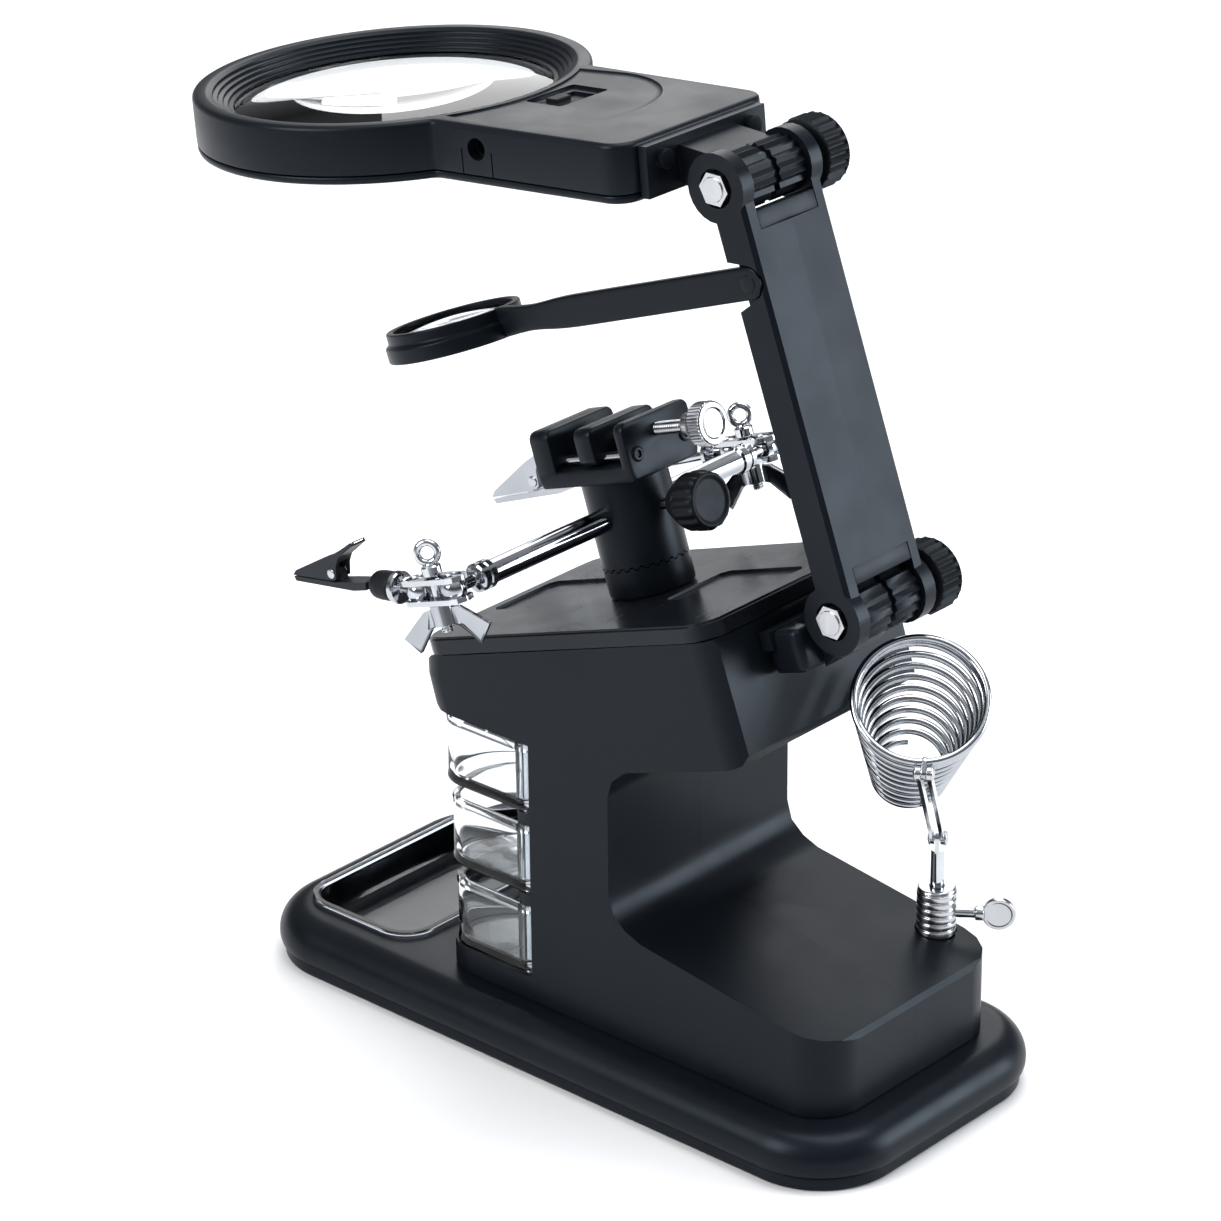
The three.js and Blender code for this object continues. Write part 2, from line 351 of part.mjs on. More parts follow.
// ---- ball joints with wing bolts, and their clips ----------------------------------------
// y: row Y of the joint, lift: slope of the stem, stem: length to the clip, k: clip size
function handJoint(name, y, lift, stem, k, metal) {
  const s = POST.s, h = ROD.h, x0 = s - 13, bx = s - 6.5;
  const plate = up => {
    const z0 = up ? h + 2.1 : h - 3.5;
    let p = prism(roundRect(10.7, 3.9, 3.2, 2, bx, y), z0, z0 + 1.4);
    for (const x of [s, x0]) p = p.subtract(rodZ(3.05, z0 - 1, z0 + 3, x, y, 16));
    return p.subtract(rodZ(1.75, z0 - 1, z0 + 3, bx, y, 16));
  };
  add(name + '_plate_top', put(plate(true), P), CHROME, 0.2, 1);
  add(name + '_plate_bottom', put(plate(false), P), CHROME, 0.2, 1);
  const eye = S(new THREE.TorusGeometry(2.7, 1.0, 6, 14)).rotate([90, 0, 35]).translate([bx, y, h + 9.9]);
  const bolt = rodZ(1.6, h - 11.5, h + 6.9, bx, y, 16).add(rodZ(2.7, h + 3.8, h + 6.6, bx, y, 16)).add(eye)
    .add(rodZ(1.9, h + 6.4, h + 7.4, bx, y, 12));
  add(name + '_bolt', put(bolt, P), CHROME, 0.2, 1);
  let wing = rodZ(3.2, -9.4, -3.85, 0, 0, 16);
  for (const q of [1, -1]) wing = wing.add(prismY([[q * 1.5, -5], [q * 5, -5.2], [q * 12.2, -11.2],
    [q * 8.6, -15.8], [q * 4, -10.2], [q * 1.5, -9.2]].map(p => p), -1, 1));
  wing = wing.subtract(rodZ(1.68, -20, 0, 0, 0, 16));
  add(name + '_wing', put(wing.rotate([0, 0, 24]).translate([bx, y, h]), P), CHROME, 0.2, 1);
  // stem and clip, local x along the stem away from the joint, local z up
  const cl = Math.cos(lift), sl = Math.sin(lift);
  const F = P.clone().multiply(frame([x0, y, h], [-cl, 0, sl], [0, -1, 0], [sl, 0, cl]));
  const e = stem;                       // where the clip begins
  const st1 = ball(3.5, 0, 0, 0).add(rodX(1.3, 2, e - 1, 0, 0, 10)).add(rodX(4.4, 6.4, 8.4, 0, 0, 16))
    .add(rodX(4.0, Math.max(8, e - 8), e, 0, 0, 16));
  const core = metal ? CHROME : BLACK;
  add(name + '_stem', put(st1, F), CHROME, 0.2, 1);
  const q = (pts) => pts.map(([u, v]) => [e + 0.3 + (u - 15.6) * k, v * k]);
  const half = 2.7 * k, px = e + 0.3 + (29.5 - 15.6) * k, pz = 2.0 * k;
  const lug = 1.1 * k;
  let low = prismY(q([[17, -1.2], [22, -1.9], [43.6, -1.5], [44.2, -0.3], [29, -0.3], [22, 0.5],
    [17, 0.9]]), -half, half);
  low = low.add(prismY(q([[26.6, -0.5], [32, -0.5], [31.4, 2.8], [30, 3.6], [28.6, 3.2]]), -lug, lug))
    .add(rodY(0.75 * k, -half - 0.4, half + 0.4, px, pz, 12));
  low = low.add(prismY(q([[16, -1.1], [18, -1.1], [18, 0.9], [16, 0.9]]), -half * 0.6, half * 0.6));
  add(name + '_clip_lower', put(low, F), core, 0.4, metal ? 1 : 0.3);
  let upp = prismY(q([[44.4, 0.1], [43.2, 1.5], [30, 6.9], [27, 7.8], [20.6, 11.4], [20.1, 10.5], [26, 6.6],
    [27.4, 4.2], [28, 0.6], [29, 0.1]]), -half, half);
  upp = upp.subtract(prismY(q([[24, -1], [36, -1], [36, 5.0], [24, 5.0]]), -lug - 0.35, lug + 0.35))
    .subtract(rodY(0.75 * k + 0.08, -half - 1, half + 1, px, pz, 16));
  add(name + '_clip_upper', put(upp, F), core, 0.4, metal ? 1 : 0.3);
}

// ---- soldering iron rest ------------------------------------------------------------------
const REST = { top: 68.4, link: [23.9, -37.6, 41.1], mouth: [0.459, -0.507, 0.729], up: [-0.489, 0.542, 0.684] };
function ironRest() {
  const { x, y } = IRON;
  let sock = turned([[0, 39.9], [5.4, 39.9], [5.4, 44], [5.0, 44.3], [5.4, 44.6], [5.4, 49], [5.0, 49.3],
    [5.4, 49.6], [5.4, 53.4], [4.6, 54], [0, 54]], 18);
  sock = sock.add(rodZ(1.9, 33, 42, 0, 0, 12)).subtract(rodZ(1.95, 42.3, 60, 0, 0, 20)).translate([x, y, 0]);
  const dir = Math.atan2(0.6, 0.8);
  const hole = rodX(1.5, 0, 8, 0, 46, 12).rotate([0, 0, dir * 180 / Math.PI]).translate([x, y, 0]);
  add('iron_socket', sock.subtract(hole), CHROME, 0.25, 1);
  const screw = rodX(1.4, 2.4, 13.5, 0, 46, 12).add(rodX(2.2, 10.5, 13, 0, 46, 12))
    .add(rodY(4.6, -1, 1, 16.8, 46, 20));
  add('iron_screw', screw.rotate([0, 0, dir * 180 / Math.PI]).translate([x, y, 0]), CHROME, 0.25, 1);
  const top = REST.top, L = REST.link;
  const post = rodZ(1.85, 42.5, top - 3.4, 0, 0, 20).add(box(-1.85, 1.85, -0.6, 0.6, top - 4, top))
    .add(rodY(1.85, -0.6, 0.6, 0, top, 16));
  const yaw = Math.atan2(L[1], L[0]);
  // the link swings in a vertical plane; its pins lie across that plane
  const turn = yaw * 180 / Math.PI, run = Math.hypot(L[0], L[1]);
  const lean = Math.atan2(L[2], run), len = Math.hypot(run, L[2]);
  const pinned = post.subtract(rodY(0.95, -5, 5, 0, top, 16));
  add('iron_post', pinned.rotate([0, 0, turn]).translate([x, y, 0]), CHROME, 0.2, 1);
  let link = null;
  for (const q of [-1, 1]) {
    const y0 = q > 0 ? 0.85 : -1.95, y1 = y0 + 1.1;
    const bar = box(0, len, y0, y1, -1.3, 1.3).add(rodY(1.9, y0, y1, 0, 0, 16)).add(rodY(1.9, y0, y1, len, 0, 16));
    link = link ? link.add(bar) : bar;
  }
  link = link.add(rodY(0.85, -2.3, 2.3, 0, 0, 16)).add(rodY(0.85, -2.3, 2.3, len, 0, 16));
  link = link.rotate([0, -lean * 180 / Math.PI, 0]).translate([0, 0, top]).rotate([0, 0, turn]);
  add('iron_link', link.translate([x, y, 0]), CHROME, 0.2, 1);
  // cone basket: mouth circle 18.2, foot circle 10.2, 58 long; lug at the mouth's lower edge
  const m = REST.mouth, up = REST.up;
  const side = [m[1] * up[2] - m[2] * up[1], m[2] * up[0] - m[0] * up[2], m[0] * up[1] - m[1] * up[0]];
  const pin = [x + L[0], y + L[1], top + L[2]];
  const c = [0, 1, 2].map(i => pin[i] + up[i] * 20.5 + m[i] * 0.8);
  const F2 = frame(c, up, side.map(v => -v), m.map(v => -v));
  const cone = turned([[16.6, 0], [18.2, 0], [18.2, 1.6], [10.2, 58], [8.6, 58], [16.6, 1.6], [16.6, 0]], 24);
  let basket = put(cone, F2);
  const tab = box(0, 4.0, -0.6, 0.6, -1.7, 1.7).add(rodY(1.9, -0.6, 0.6, 0, 0, 16)).subtract(rodY(0.95, -5, 5, 0, 0, 16));
  const toC = new THREE.Vector3(...up.map((v, i) => v * 20.5 + m[i] * 0.8)).normalize();
  const across = new THREE.Vector3(-Math.sin(yaw), Math.cos(yaw), 0);
  const tx = toC.clone().addScaledVector(across, -toC.dot(across)).normalize();
  const tz = new THREE.Vector3().crossVectors(tx, across);
  const T = new THREE.Matrix4().makeBasis(tx, across, tz).setPosition(...pin);
  basket = basket.add(put(tab, T));
  add('iron_spring', basket, CHROME, 0.2, 1);
}

base(); tower(); drawers(); hinges(); arm(); auxLens(); head(); vise();
handJoint('near', ROD.y0 - 7, 0.157, 15.7, 1, false);
handJoint('far', ROD.y1 + 7, -0.075, 60, 1.25, true);
ironRest();
export default group;
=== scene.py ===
# %% [markdown]
# # A helping hands magnifier
# A black bench stand with a lit magnifier head, a swing-out lens, a small board vise, two
# clip arms, three clear drawers and a rest for a hot iron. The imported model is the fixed
# frame: it gives every size and every joint, and this script adds the looks. Big moulded
# shells, turned metal and lenses are worked out again as smooth surfaces; the tower, the
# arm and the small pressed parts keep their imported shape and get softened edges. Numbers
# are millimetres until the very last step, when `skin` turns them into metres.

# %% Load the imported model
import json
import math
import bmesh
import bpy
import numpy as np
from mathutils import Matrix


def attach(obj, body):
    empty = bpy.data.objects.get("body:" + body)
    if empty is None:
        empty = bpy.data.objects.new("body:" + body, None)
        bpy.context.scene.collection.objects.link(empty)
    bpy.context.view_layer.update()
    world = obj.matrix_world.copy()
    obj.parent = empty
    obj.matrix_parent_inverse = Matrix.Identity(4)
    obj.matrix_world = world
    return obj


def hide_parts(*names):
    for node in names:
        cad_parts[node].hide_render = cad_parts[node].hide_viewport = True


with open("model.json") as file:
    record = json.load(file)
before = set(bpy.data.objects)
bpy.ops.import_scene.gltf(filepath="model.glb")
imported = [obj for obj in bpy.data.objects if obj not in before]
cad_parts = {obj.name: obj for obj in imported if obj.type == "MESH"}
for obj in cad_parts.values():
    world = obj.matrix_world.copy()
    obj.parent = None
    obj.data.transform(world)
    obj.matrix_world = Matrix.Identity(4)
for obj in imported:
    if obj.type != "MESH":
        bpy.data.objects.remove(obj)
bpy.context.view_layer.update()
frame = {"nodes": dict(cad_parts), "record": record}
NODES = frame["nodes"]
BODY = {n: b for b, ns in frame["record"]["behaviour"]["bodies"].items() for n in ns}

# %% [markdown]
# ## Surfaces from arrays
# Every new piece is a grid of points, computed as one array `P[i, j]`: `i` runs round the
# piece and `j` along it. `skin` joins neighbouring points with quads and closes the two
# ends, either with one face each or by running round to the start. Making the mesh in one
# call keeps it fast and keeps the faces pointing one way.

# %% A mesh from a grid of points
MM = 0.001


def skin(name, P, wrap_v=False, smooth=35.0):
    """P[i, j] = point i round, j along, in mm. i always closes on itself; j closes too with
    `wrap_v`, and otherwise each of the two ends gets one face."""
    P = np.asarray(P, float)
    nu, nv = P.shape[:2]
    idx = np.arange(nu * nv).reshape(nu, nv)
    a = idx if wrap_v else idx[:, :-1]
    b = np.roll(idx, -1, 1) if wrap_v else idx[:, 1:]
    quads = np.stack([a, np.roll(a, -1, 0), np.roll(b, -1, 0), b], -1).reshape(-1, 4)
    faces = quads.tolist()
    if not wrap_v:
        faces.append(idx[:, 0][::-1].tolist())
        faces.append(idx[:, -1].tolist())
    mesh = bpy.data.meshes.new(name)
    mesh.from_pydata((P.reshape(-1, 3) * MM).tolist(), [], faces)
    return finish_mesh(name, mesh, smooth)


def finish_mesh(name, mesh, smooth):
    """Weld doubled points, turn the faces outwards, shade smooth up to an angle."""
    bm = bmesh.new()
    bm.from_mesh(mesh)
    bmesh.ops.remove_doubles(bm, verts=bm.verts, dist=2e-6)
    bmesh.ops.recalc_face_normals(bm, faces=bm.faces)
    bm.to_mesh(mesh)
    bm.free()
    mesh.polygons.foreach_set("use_smooth", np.ones(len(mesh.polygons), bool))
    mesh.set_sharp_from_angle(angle=math.radians(smooth))
    obj = bpy.data.objects.new(name, mesh)
    bpy.context.scene.collection.objects.link(obj)
    return obj


# %% [markdown]
# ## Places
# The platform of the stand is tilted, so the post, the vise and the clip arms stand on a
# tilted frame; the magnifier head and the arm have frames of their own. A place is an
# origin and three directions, and a local point p becomes origin + x·ex + y·ey + z·ez.

# %% Local frames
def place(origin, ex, ez):
    """Origin and two directions give a right-handed frame; y follows from z cross x."""
    ex, ez = np.array(ex, float), np.array(ez, float)
    ex /= np.linalg.norm(ex)
    ez -= ex * (ez @ ex)
    ez /= np.linalg.norm(ez)
    return np.array(origin, float), np.stack([ex, np.cross(ez, ex), ez])


def leaning(origin, angle):
    """A frame turned about the world's y: its x rises by the angle, its z leans back by it."""
    c, s = math.cos(angle), math.sin(angle)
    return place(origin, (c, 0, s), (-s, 0, c))


def along(origin, axis):
    """A frame whose z is the given axis. Its x is the upright with that axis taken out of
    it, or starts from the world's x where the axis is nearly upright itself."""
    ez = np.array(axis, float) / np.linalg.norm(axis)
    side = np.array((1.0, 0, 0) if abs(ez[2]) > 0.95 else (0, 0, 1.0))
    return place(origin, side - ez * (side @ ez), ez)


def at(fr, P):
    """Local points into the object's frame."""
    return fr[0] + np.asarray(P, float) @ fr[1]


TILT, NOD = 0.3275, 0.0952
deck = leaning((0, 0, 123.5), TILT)
head = leaning((-87.7, 0, 254.8), NOD)
world = place((0, 0, 0), (1, 0, 0), (0, 0, 1))
POST_S, ROD_H = 6.9, 27.5  # the post's place along the deck, the cross rod's height over it
HINGE_LO, HINGE_HI = (79.0, 147.9), (40.0, 255.0)  # x and z of the arm's two hinges
print("deck tilted %.1f degrees, head %.1f" % (math.degrees(TILT), math.degrees(NOD)))

# %% [markdown]
# ## Outlines and profiles
# Moulds and lathes leave no knife edges, so an outline is a polyline whose corners are
# rounded before it is used. A lathe part is such a profile turned about an axis, a moulded
# part is a stack of outlines, and a wire is a ring carried along a path.

# %% Profiles with rounded corners
def soft_path(pts, radius=0.4, steps=4, closed=False):
    """Each corner of the polyline becomes an arc: points on a quadratic curve between the
    two places that lie `radius` (at most 45% of the side) from the corner."""
    pts = np.asarray(pts, float)
    r = np.broadcast_to(radius, len(pts))
    n, out = len(pts), []
    for i in range(n):
        if not closed and i in (0, n - 1):
            out.append(pts[i][None])
            continue
        p, a, b = pts[i], pts[i - 1] - pts[i], pts[(i + 1) % n] - pts[i]
        la, lb = np.linalg.norm(a), np.linalg.norm(b)
        q = min(r[i], 0.45 * la, 0.45 * lb)
        t = np.linspace(0, 1, steps + 1)[:, None]
        out.append((1 - t) ** 2 * (p + a / la * q) + 2 * t * (1 - t) * p + t ** 2 * (p + b / lb * q))
    return np.concatenate(out)


def turned(name, profile, fr=world, n=96, wrap=False, wave=None, smooth=35.0):
    """Surface of revolution about the frame's z: (r cos u, r sin u, z). `wave(u, r, z)`
    may change the radius, for knurling and grips."""
    prof = np.asarray(profile, float)
    u = np.arange(n)[:, None] * 2 * np.pi / n
    r, z = prof[None, :, 0] + 0 * u, prof[None, :, 1] + 0 * u
    if wave:
        r, z = wave(u, r, z)
    return skin(name, at(fr, np.stack([r * np.cos(u), r * np.sin(u), z], -1)), wrap_v=wrap, smooth=smooth)


def rounded_rect(hx, hy, r, n=48, cx=0.0, cy=0.0):
    """Outline of 4n points: four quarter circles of n points, joined by straight sides
    that carry n points each, so insets of it match point for point."""
    q = np.linspace(0, np.pi / 2, n)
    out = []
    corners = [(1, 1), (-1, 1), (-1, -1), (1, -1)]
    for k, (sx, sy) in enumerate(corners):
        t = q + k * np.pi / 2
        arc = np.stack([cx + sx * (hx - r) + r * np.cos(t), cy + sy * (hy - r) + r * np.sin(t)], -1)
        sx2, sy2 = corners[(k + 1) % 4]
        t2 = (k + 1) * np.pi / 2
        nxt = np.array([cx + sx2 * (hx - r) + r * np.cos(t2), cy + sy2 * (hy - r) + r * np.sin(t2)])
        s = np.linspace(0, 1, n + 2)[1:-1, None]
        out += [arc, arc[-1] * (1 - s) + nxt * s]
    return np.concatenate(out)


def layers(outline, stages):
    """Stack of outlines: stage (inset, height) gives outline(inset) at that height."""
    return np.stack([np.concatenate([outline(d), np.full((len(outline(d)), 1), z)], 1)
                     for d, z in stages], 1)


def tube(name, path, radius, n=10):
    """Round wire along a path: at each point the ring lies across the path's direction;
    the ring's first axis is the last one with the new direction taken out of it."""
    path = np.asarray(path, float)
    T = np.gradient(path, axis=0)
    T /= np.linalg.norm(T, axis=1)[:, None]
    A = np.zeros_like(T)
    a = np.cross(T[0], (0.3, 0.5, 0.81))
    for i in range(len(T)):
        a = a - T[i] * (a @ T[i])
        a /= np.linalg.norm(a)
        A[i] = a
    B = np.cross(T, A)
    u = np.arange(n)[:, None, None] * 2 * np.pi / n
    rad = np.broadcast_to(radius, len(path))[None, :, None]
    return skin(name, path[None] + rad * (np.cos(u) * A[None] + np.sin(u) * B[None]), smooth=40)


# %% [markdown]
# ## Finishes
# The stand has only a few finishes: satin black moulding, glossier black where the lid is
# polished, bright plating, clear moulding, optical glass and some small inner parts. Each
# is a node tree on Object coordinates, so a pattern stays on its piece when the piece
# moves. Values that are the same everywhere sit on the shader's own sockets; only grain,
# wear and small height changes come from noise.

# %% Node helpers
def material(name, color, rough, metal=0.0, **extra):
    """A shader with constants on its own sockets; gives the material, its tree, the shader."""
    m = bpy.data.materials.new(name)
    m.use_nodes = True
    b = m.node_tree.nodes["Principled BSDF"]
    b.inputs["Base Color"].default_value = (*color, 1)
    b.inputs["Roughness"].default_value = rough
    b.inputs["Metallic"].default_value = metal
    for k, v in extra.items():
        b.inputs[k.replace("_", " ")].default_value = v
    return m, m.node_tree, b


def noise(tree, scale, detail=4.0, stretch=(1, 1, 1)):
    """Noise on Object coordinates, stretched by a Mapping node."""
    tc = tree.nodes.new("ShaderNodeTexCoord")
    mp = tree.nodes.new("ShaderNodeMapping")
    nz = tree.nodes.new("ShaderNodeTexNoise")
    mp.inputs["Scale"].default_value = stretch
    nz.inputs["Scale"].default_value = scale
    nz.inputs["Detail"].default_value = detail
    nz.inputs["Roughness"].default_value = 0.55
    tree.links.new(tc.outputs["Object"], mp.inputs["Vector"])
    tree.links.new(mp.outputs["Vector"], nz.inputs["Vector"])
    return nz.outputs["Fac"]


def spread(tree, fac, lo, hi):
    """Map a noise value from its middle range, 0.35 to 0.65, to lo..hi."""
    r = tree.nodes.new("ShaderNodeMapRange")
    for key, v in (("From Min", 0.35), ("From Max", 0.65), ("To Min", lo), ("To Max", hi)):
        r.inputs[key].default_value = v
    tree.links.new(fac, r.inputs["Value"])
    return r.outputs["Result"]


def tint(tree, fac, dark, light):
    """Blend two colours by a value."""
    r = tree.nodes.new("ShaderNodeValToRGB")
    r.color_ramp.elements[0].color = (*dark, 1)
    r.color_ramp.elements[0].position = 0.35
    r.color_ramp.elements[1].color = (*light, 1)
    r.color_ramp.elements[1].position = 0.68
    tree.links.new(fac, r.inputs["Fac"])
    return r.outputs["Color"]


def relief(tree, shader, fac, strength, distance):
    """Bump from a value."""
    bp = tree.nodes.new("ShaderNodeBump")
    bp.inputs["Strength"].default_value = strength
    bp.inputs["Distance"].default_value = distance
    tree.links.new(fac, bp.inputs["Height"])
    tree.links.new(bp.outputs["Normal"], shader.inputs["Normal"])


# %% [markdown]
# Black plastic looks black only where it reflects little, so its reflections are held well
# below those of bare plastic. What tells one moulding from another is the sheen: the lid
# is smoother, the knobs are coarser, and the clips are painted metal.

# %% Black mouldings
def moulded(name, dark, light, r0, r1, grain=2600.0, depth=0.25, shine=0.15):
    """Moulded plastic: slow patches of tone, fine spark-eroded grain, rougher patches."""
    m, t, b = material(name, light, (r0 + r1) / 2)
    t.links.new(tint(t, noise(t, 14, 3), dark, light), b.inputs["Base Color"])
    t.links.new(spread(t, noise(t, 55, 5), r0, r1), b.inputs["Roughness"])
    relief(t, b, noise(t, grain, 2), depth, 0.00004)
    b.inputs["IOR"].default_value = 1.5
    b.inputs["Specular IOR Level"].default_value = shine
    b.inputs["Specular Tint"].default_value = (0.72, 0.86, 1.0, 1)
    return m


SATIN = moulded("satin_black", (0.0030, 0.0040, 0.0060), (0.0050, 0.0066, 0.0094), 0.30, 0.38)
GLOSSY = moulded("polished_black", (0.0050, 0.0060, 0.0080), (0.0075, 0.0090, 0.0115), 0.20, 0.28,
                 grain=1400, depth=0.06, shine=0.22)
DULL = moulded("grip_black", (0.0040, 0.0046, 0.0056), (0.0080, 0.0086, 0.0100), 0.40, 0.55, 1800, 0.4)
ENAMEL = moulded("clip_black", (0.010, 0.0115, 0.014), (0.020, 0.022, 0.026), 0.25, 0.4, 900, 0.2)


# %% [markdown]
# Plating is a metal whose roughness is streaked along the way it was drawn or polished.
# Clear plastic and glass let light through. The plastics have a lower index than real
# ones, a choice made for looks that bends less of the room into their thin walls.

# %% Bright metal, clear moulding, glass
def plated(name, tone, r0, r1, stretch=(1, 1, 1), scale=300.0):
    """Plated steel: nearly mirror, with faint drawn lines and cloudy roughness."""
    m, t, b = material(name, tone, r0, 1.0)
    t.links.new(tint(t, noise(t, 40, 3), tuple(0.86 * c for c in tone), tone), b.inputs["Base Color"])
    t.links.new(spread(t, noise(t, scale, 4, stretch), r0, r1), b.inputs["Roughness"])
    relief(t, b, noise(t, scale * 3, 2, stretch), 0.05, 0.00003)
    return m


CHROME = plated("bright_plating", (0.56, 0.58, 0.61), 0.06, 0.14)
DARKCHROME = plated("rod_plating", (0.42, 0.44, 0.47), 0.06, 0.12, (1, 0.05, 1), 500)
NICKEL = plated("nickel_plating", (0.50, 0.51, 0.53), 0.15, 0.27, (1, 1, 0.1), 400)
CAST = plated("rough_steel", (0.35, 0.35, 0.36), 0.4, 0.6)


def clear(name, color, rough, ior, cloud):
    """See-through plastic or glass; a little cloudiness and slow waviness."""
    m, t, b = material(name, color, rough, Transmission_Weight=1.0, IOR=ior)
    t.links.new(spread(t, noise(t, 90, 3), rough, rough + cloud), b.inputs["Roughness"])
    relief(t, b, noise(t, 60, 2), 0.04, 0.0002)
    return m


CLEAR = clear("clear_styrene", (0.93, 0.955, 0.97), 0.02, 1.30, 0.05)
CUP = clear("smoked_clear", (0.40, 0.43, 0.47), 0.06, 1.30, 0.05)
GLASS = clear("lens_glass", (0.97, 0.985, 0.99), 0.0, 1.46, 0.004)
LAMP = moulded("lamp_yellow", (0.75, 0.72, 0.50), (0.86, 0.84, 0.68), 0.3, 0.45, 700, 0.1)
CELL = moulded("cell_wrap", (0.10, 0.11, 0.13), (0.14, 0.15, 0.17), 0.3, 0.4, 500, 0.1)
print("finishes", len(bpy.data.materials))


# %% [markdown]
# ## Dressing a piece
# `dress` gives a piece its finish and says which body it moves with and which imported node
# it stands for. `softened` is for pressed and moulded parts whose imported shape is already
# right but has knife edges: a copy is welded, its flat triangles are joined, and a bevel
# rounds each edge the way a real mould or a tumbling barrel does.

# %% Ride, replace and soften
def dress(obj, finish, body=None, nodes=()):
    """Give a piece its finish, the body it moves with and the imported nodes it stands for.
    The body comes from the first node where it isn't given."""
    obj.data.materials.clear()
    obj.data.materials.append(finish)
    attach(obj, body or BODY[nodes[0]])
    if nodes:
        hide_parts(*nodes)
    return obj


def softened(node, width, finish, angle=38.0, smooth=38.0, seam=None, panel_mm2=None):
    """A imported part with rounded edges: the bevel's weight is 1 on each edge sharper than
    `angle`, and 0 along a parting plane y = 0 when `seam` (its half width in mm) is given.
    Flat faces larger than `panel_mm2` are sunk a little inside a narrow rim."""
    obj = bpy.data.objects.new(node + "_soft", NODES[node].data.copy())
    bm = bmesh.new()
    bm.from_mesh(obj.data)
    bmesh.ops.remove_doubles(bm, verts=bm.verts, dist=4e-6)
    for v in bm.verts if seam else ():
        if abs(v.co.y) < 0.0002:
            v.co.y = math.copysign(1e-5, v.co.y)
    bmesh.ops.dissolve_limit(bm, angle_limit=math.radians(1.0), verts=bm.verts, edges=bm.edges)
    if panel_mm2:
        wide = [f for f in bm.faces if f.calc_area() * 1e6 > panel_mm2]
        bmesh.ops.inset_individual(bm, faces=wide, thickness=0.00065, depth=-0.00022,
                                   use_even_offset=True)
    layer = bm.edges.layers.float.get("bevel_weight_edge") or bm.edges.layers.float.new("bevel_weight_edge")
    for e in bm.edges:
        flat = seam and all(abs(v.co.y) < seam * MM for v in e.verts)
        e[layer] = float(len(e.link_faces) == 2 and e.calc_face_angle(0) > math.radians(angle) and not flat)
    bm.to_mesh(obj.data)
    bm.free()
    bpy.context.scene.collection.objects.link(obj)
    obj.data.polygons.foreach_set("use_smooth", np.ones(len(obj.data.polygons), bool))
    obj.data.set_sharp_from_angle(angle=math.radians(smooth))
    bv = obj.modifiers.new("edge", "BEVEL")
    bv.width, bv.segments, bv.limit_method = width * MM, 3, "WEIGHT"
    bv.harden_normals, bv.use_clamp_overlap = True, True
    bv.miter_outer = "MITER_ARC"
    wn = obj.modifiers.new("flat faces stay flat", "WEIGHTED_NORMAL")
    wn.keep_sharp, wn.weight = True, 60
    return dress(obj, finish, nodes=(node,))


def bake(obj):
    """Apply the live modifiers, so that later steps see the finished mesh."""
    dg = bpy.context.evaluated_depsgraph_get()
    mesh = bpy.data.meshes.new_from_object(obj.evaluated_get(dg))
    obj.modifiers.clear()
    obj.data = mesh
    return obj


def carve(obj, cutters, op="DIFFERENCE"):
    """Cut other shapes out of a piece, one after another, and drop the cutters."""
    for c in cutters:
        mod = obj.modifiers.new("cut", "BOOLEAN")
        mod.operation, mod.solver, mod.object = op, "EXACT", c
        bake(obj)
        bpy.data.objects.remove(c)
    obj.data.set_sharp_from_angle(angle=math.radians(35))
    return obj


def block(name, x0, x1, y0, y1, z0, z1, fr, r, edge):
    """A cushion-edged block: rounded rectangles of corner radius r, pulled in by `edge` at
    the two ends."""
    cx, cy, hx, hy = (x0 + x1) / 2, (y0 + y1) / 2, (x1 - x0) / 2, (y1 - y0) / 2
    e = min(edge, (z1 - z0) * 0.4)
    stages = [(e, z0), (e * 0.3, z0 + e * 0.3), (0, z0 + e), (0, z1 - e), (e * 0.3, z1 - e * 0.3), (e, z1)]

    def line(d):
        return rounded_rect(hx - d, hy - d, max(r - d, 0.02), 5, cx, cy)

    return skin(name, at(fr, layers(line, stages)))


def joined(name, parts):
    """Several closed shapes kept as one mesh object."""
    bm = bmesh.new()
    for p in parts:
        bm.from_mesh(p.data)
    mesh = bpy.data.meshes.new(name)
    bm.to_mesh(mesh)
    bm.free()
    for p in parts:
        bpy.data.objects.remove(p)
    obj = bpy.data.objects.new(name, mesh)
    bpy.context.scene.collection.objects.link(obj)
    return obj


# %% [markdown]
# ## Base
# The base is a shallow oblong shell with a fat bull-nose edge, sitting on a slightly
# smaller bottom plate, so a dark groove runs all the way round. The shell is one surface:
# starting under it, out to the rim, over the bull nose, across the top to the oblong well
# for the tray, and down to the well's floor. The well's outline is read at the same
# directions as the base's own points, so the top is a fan of straight lines between them.

# %% Base shell
WELL_X = -77.5  # middle of the tray's well


def base_line(d):
    """The base's outline, pulled in by d."""
    return rounded_rect(108.8 - d, 49.5 - d, 25 - d, 60)


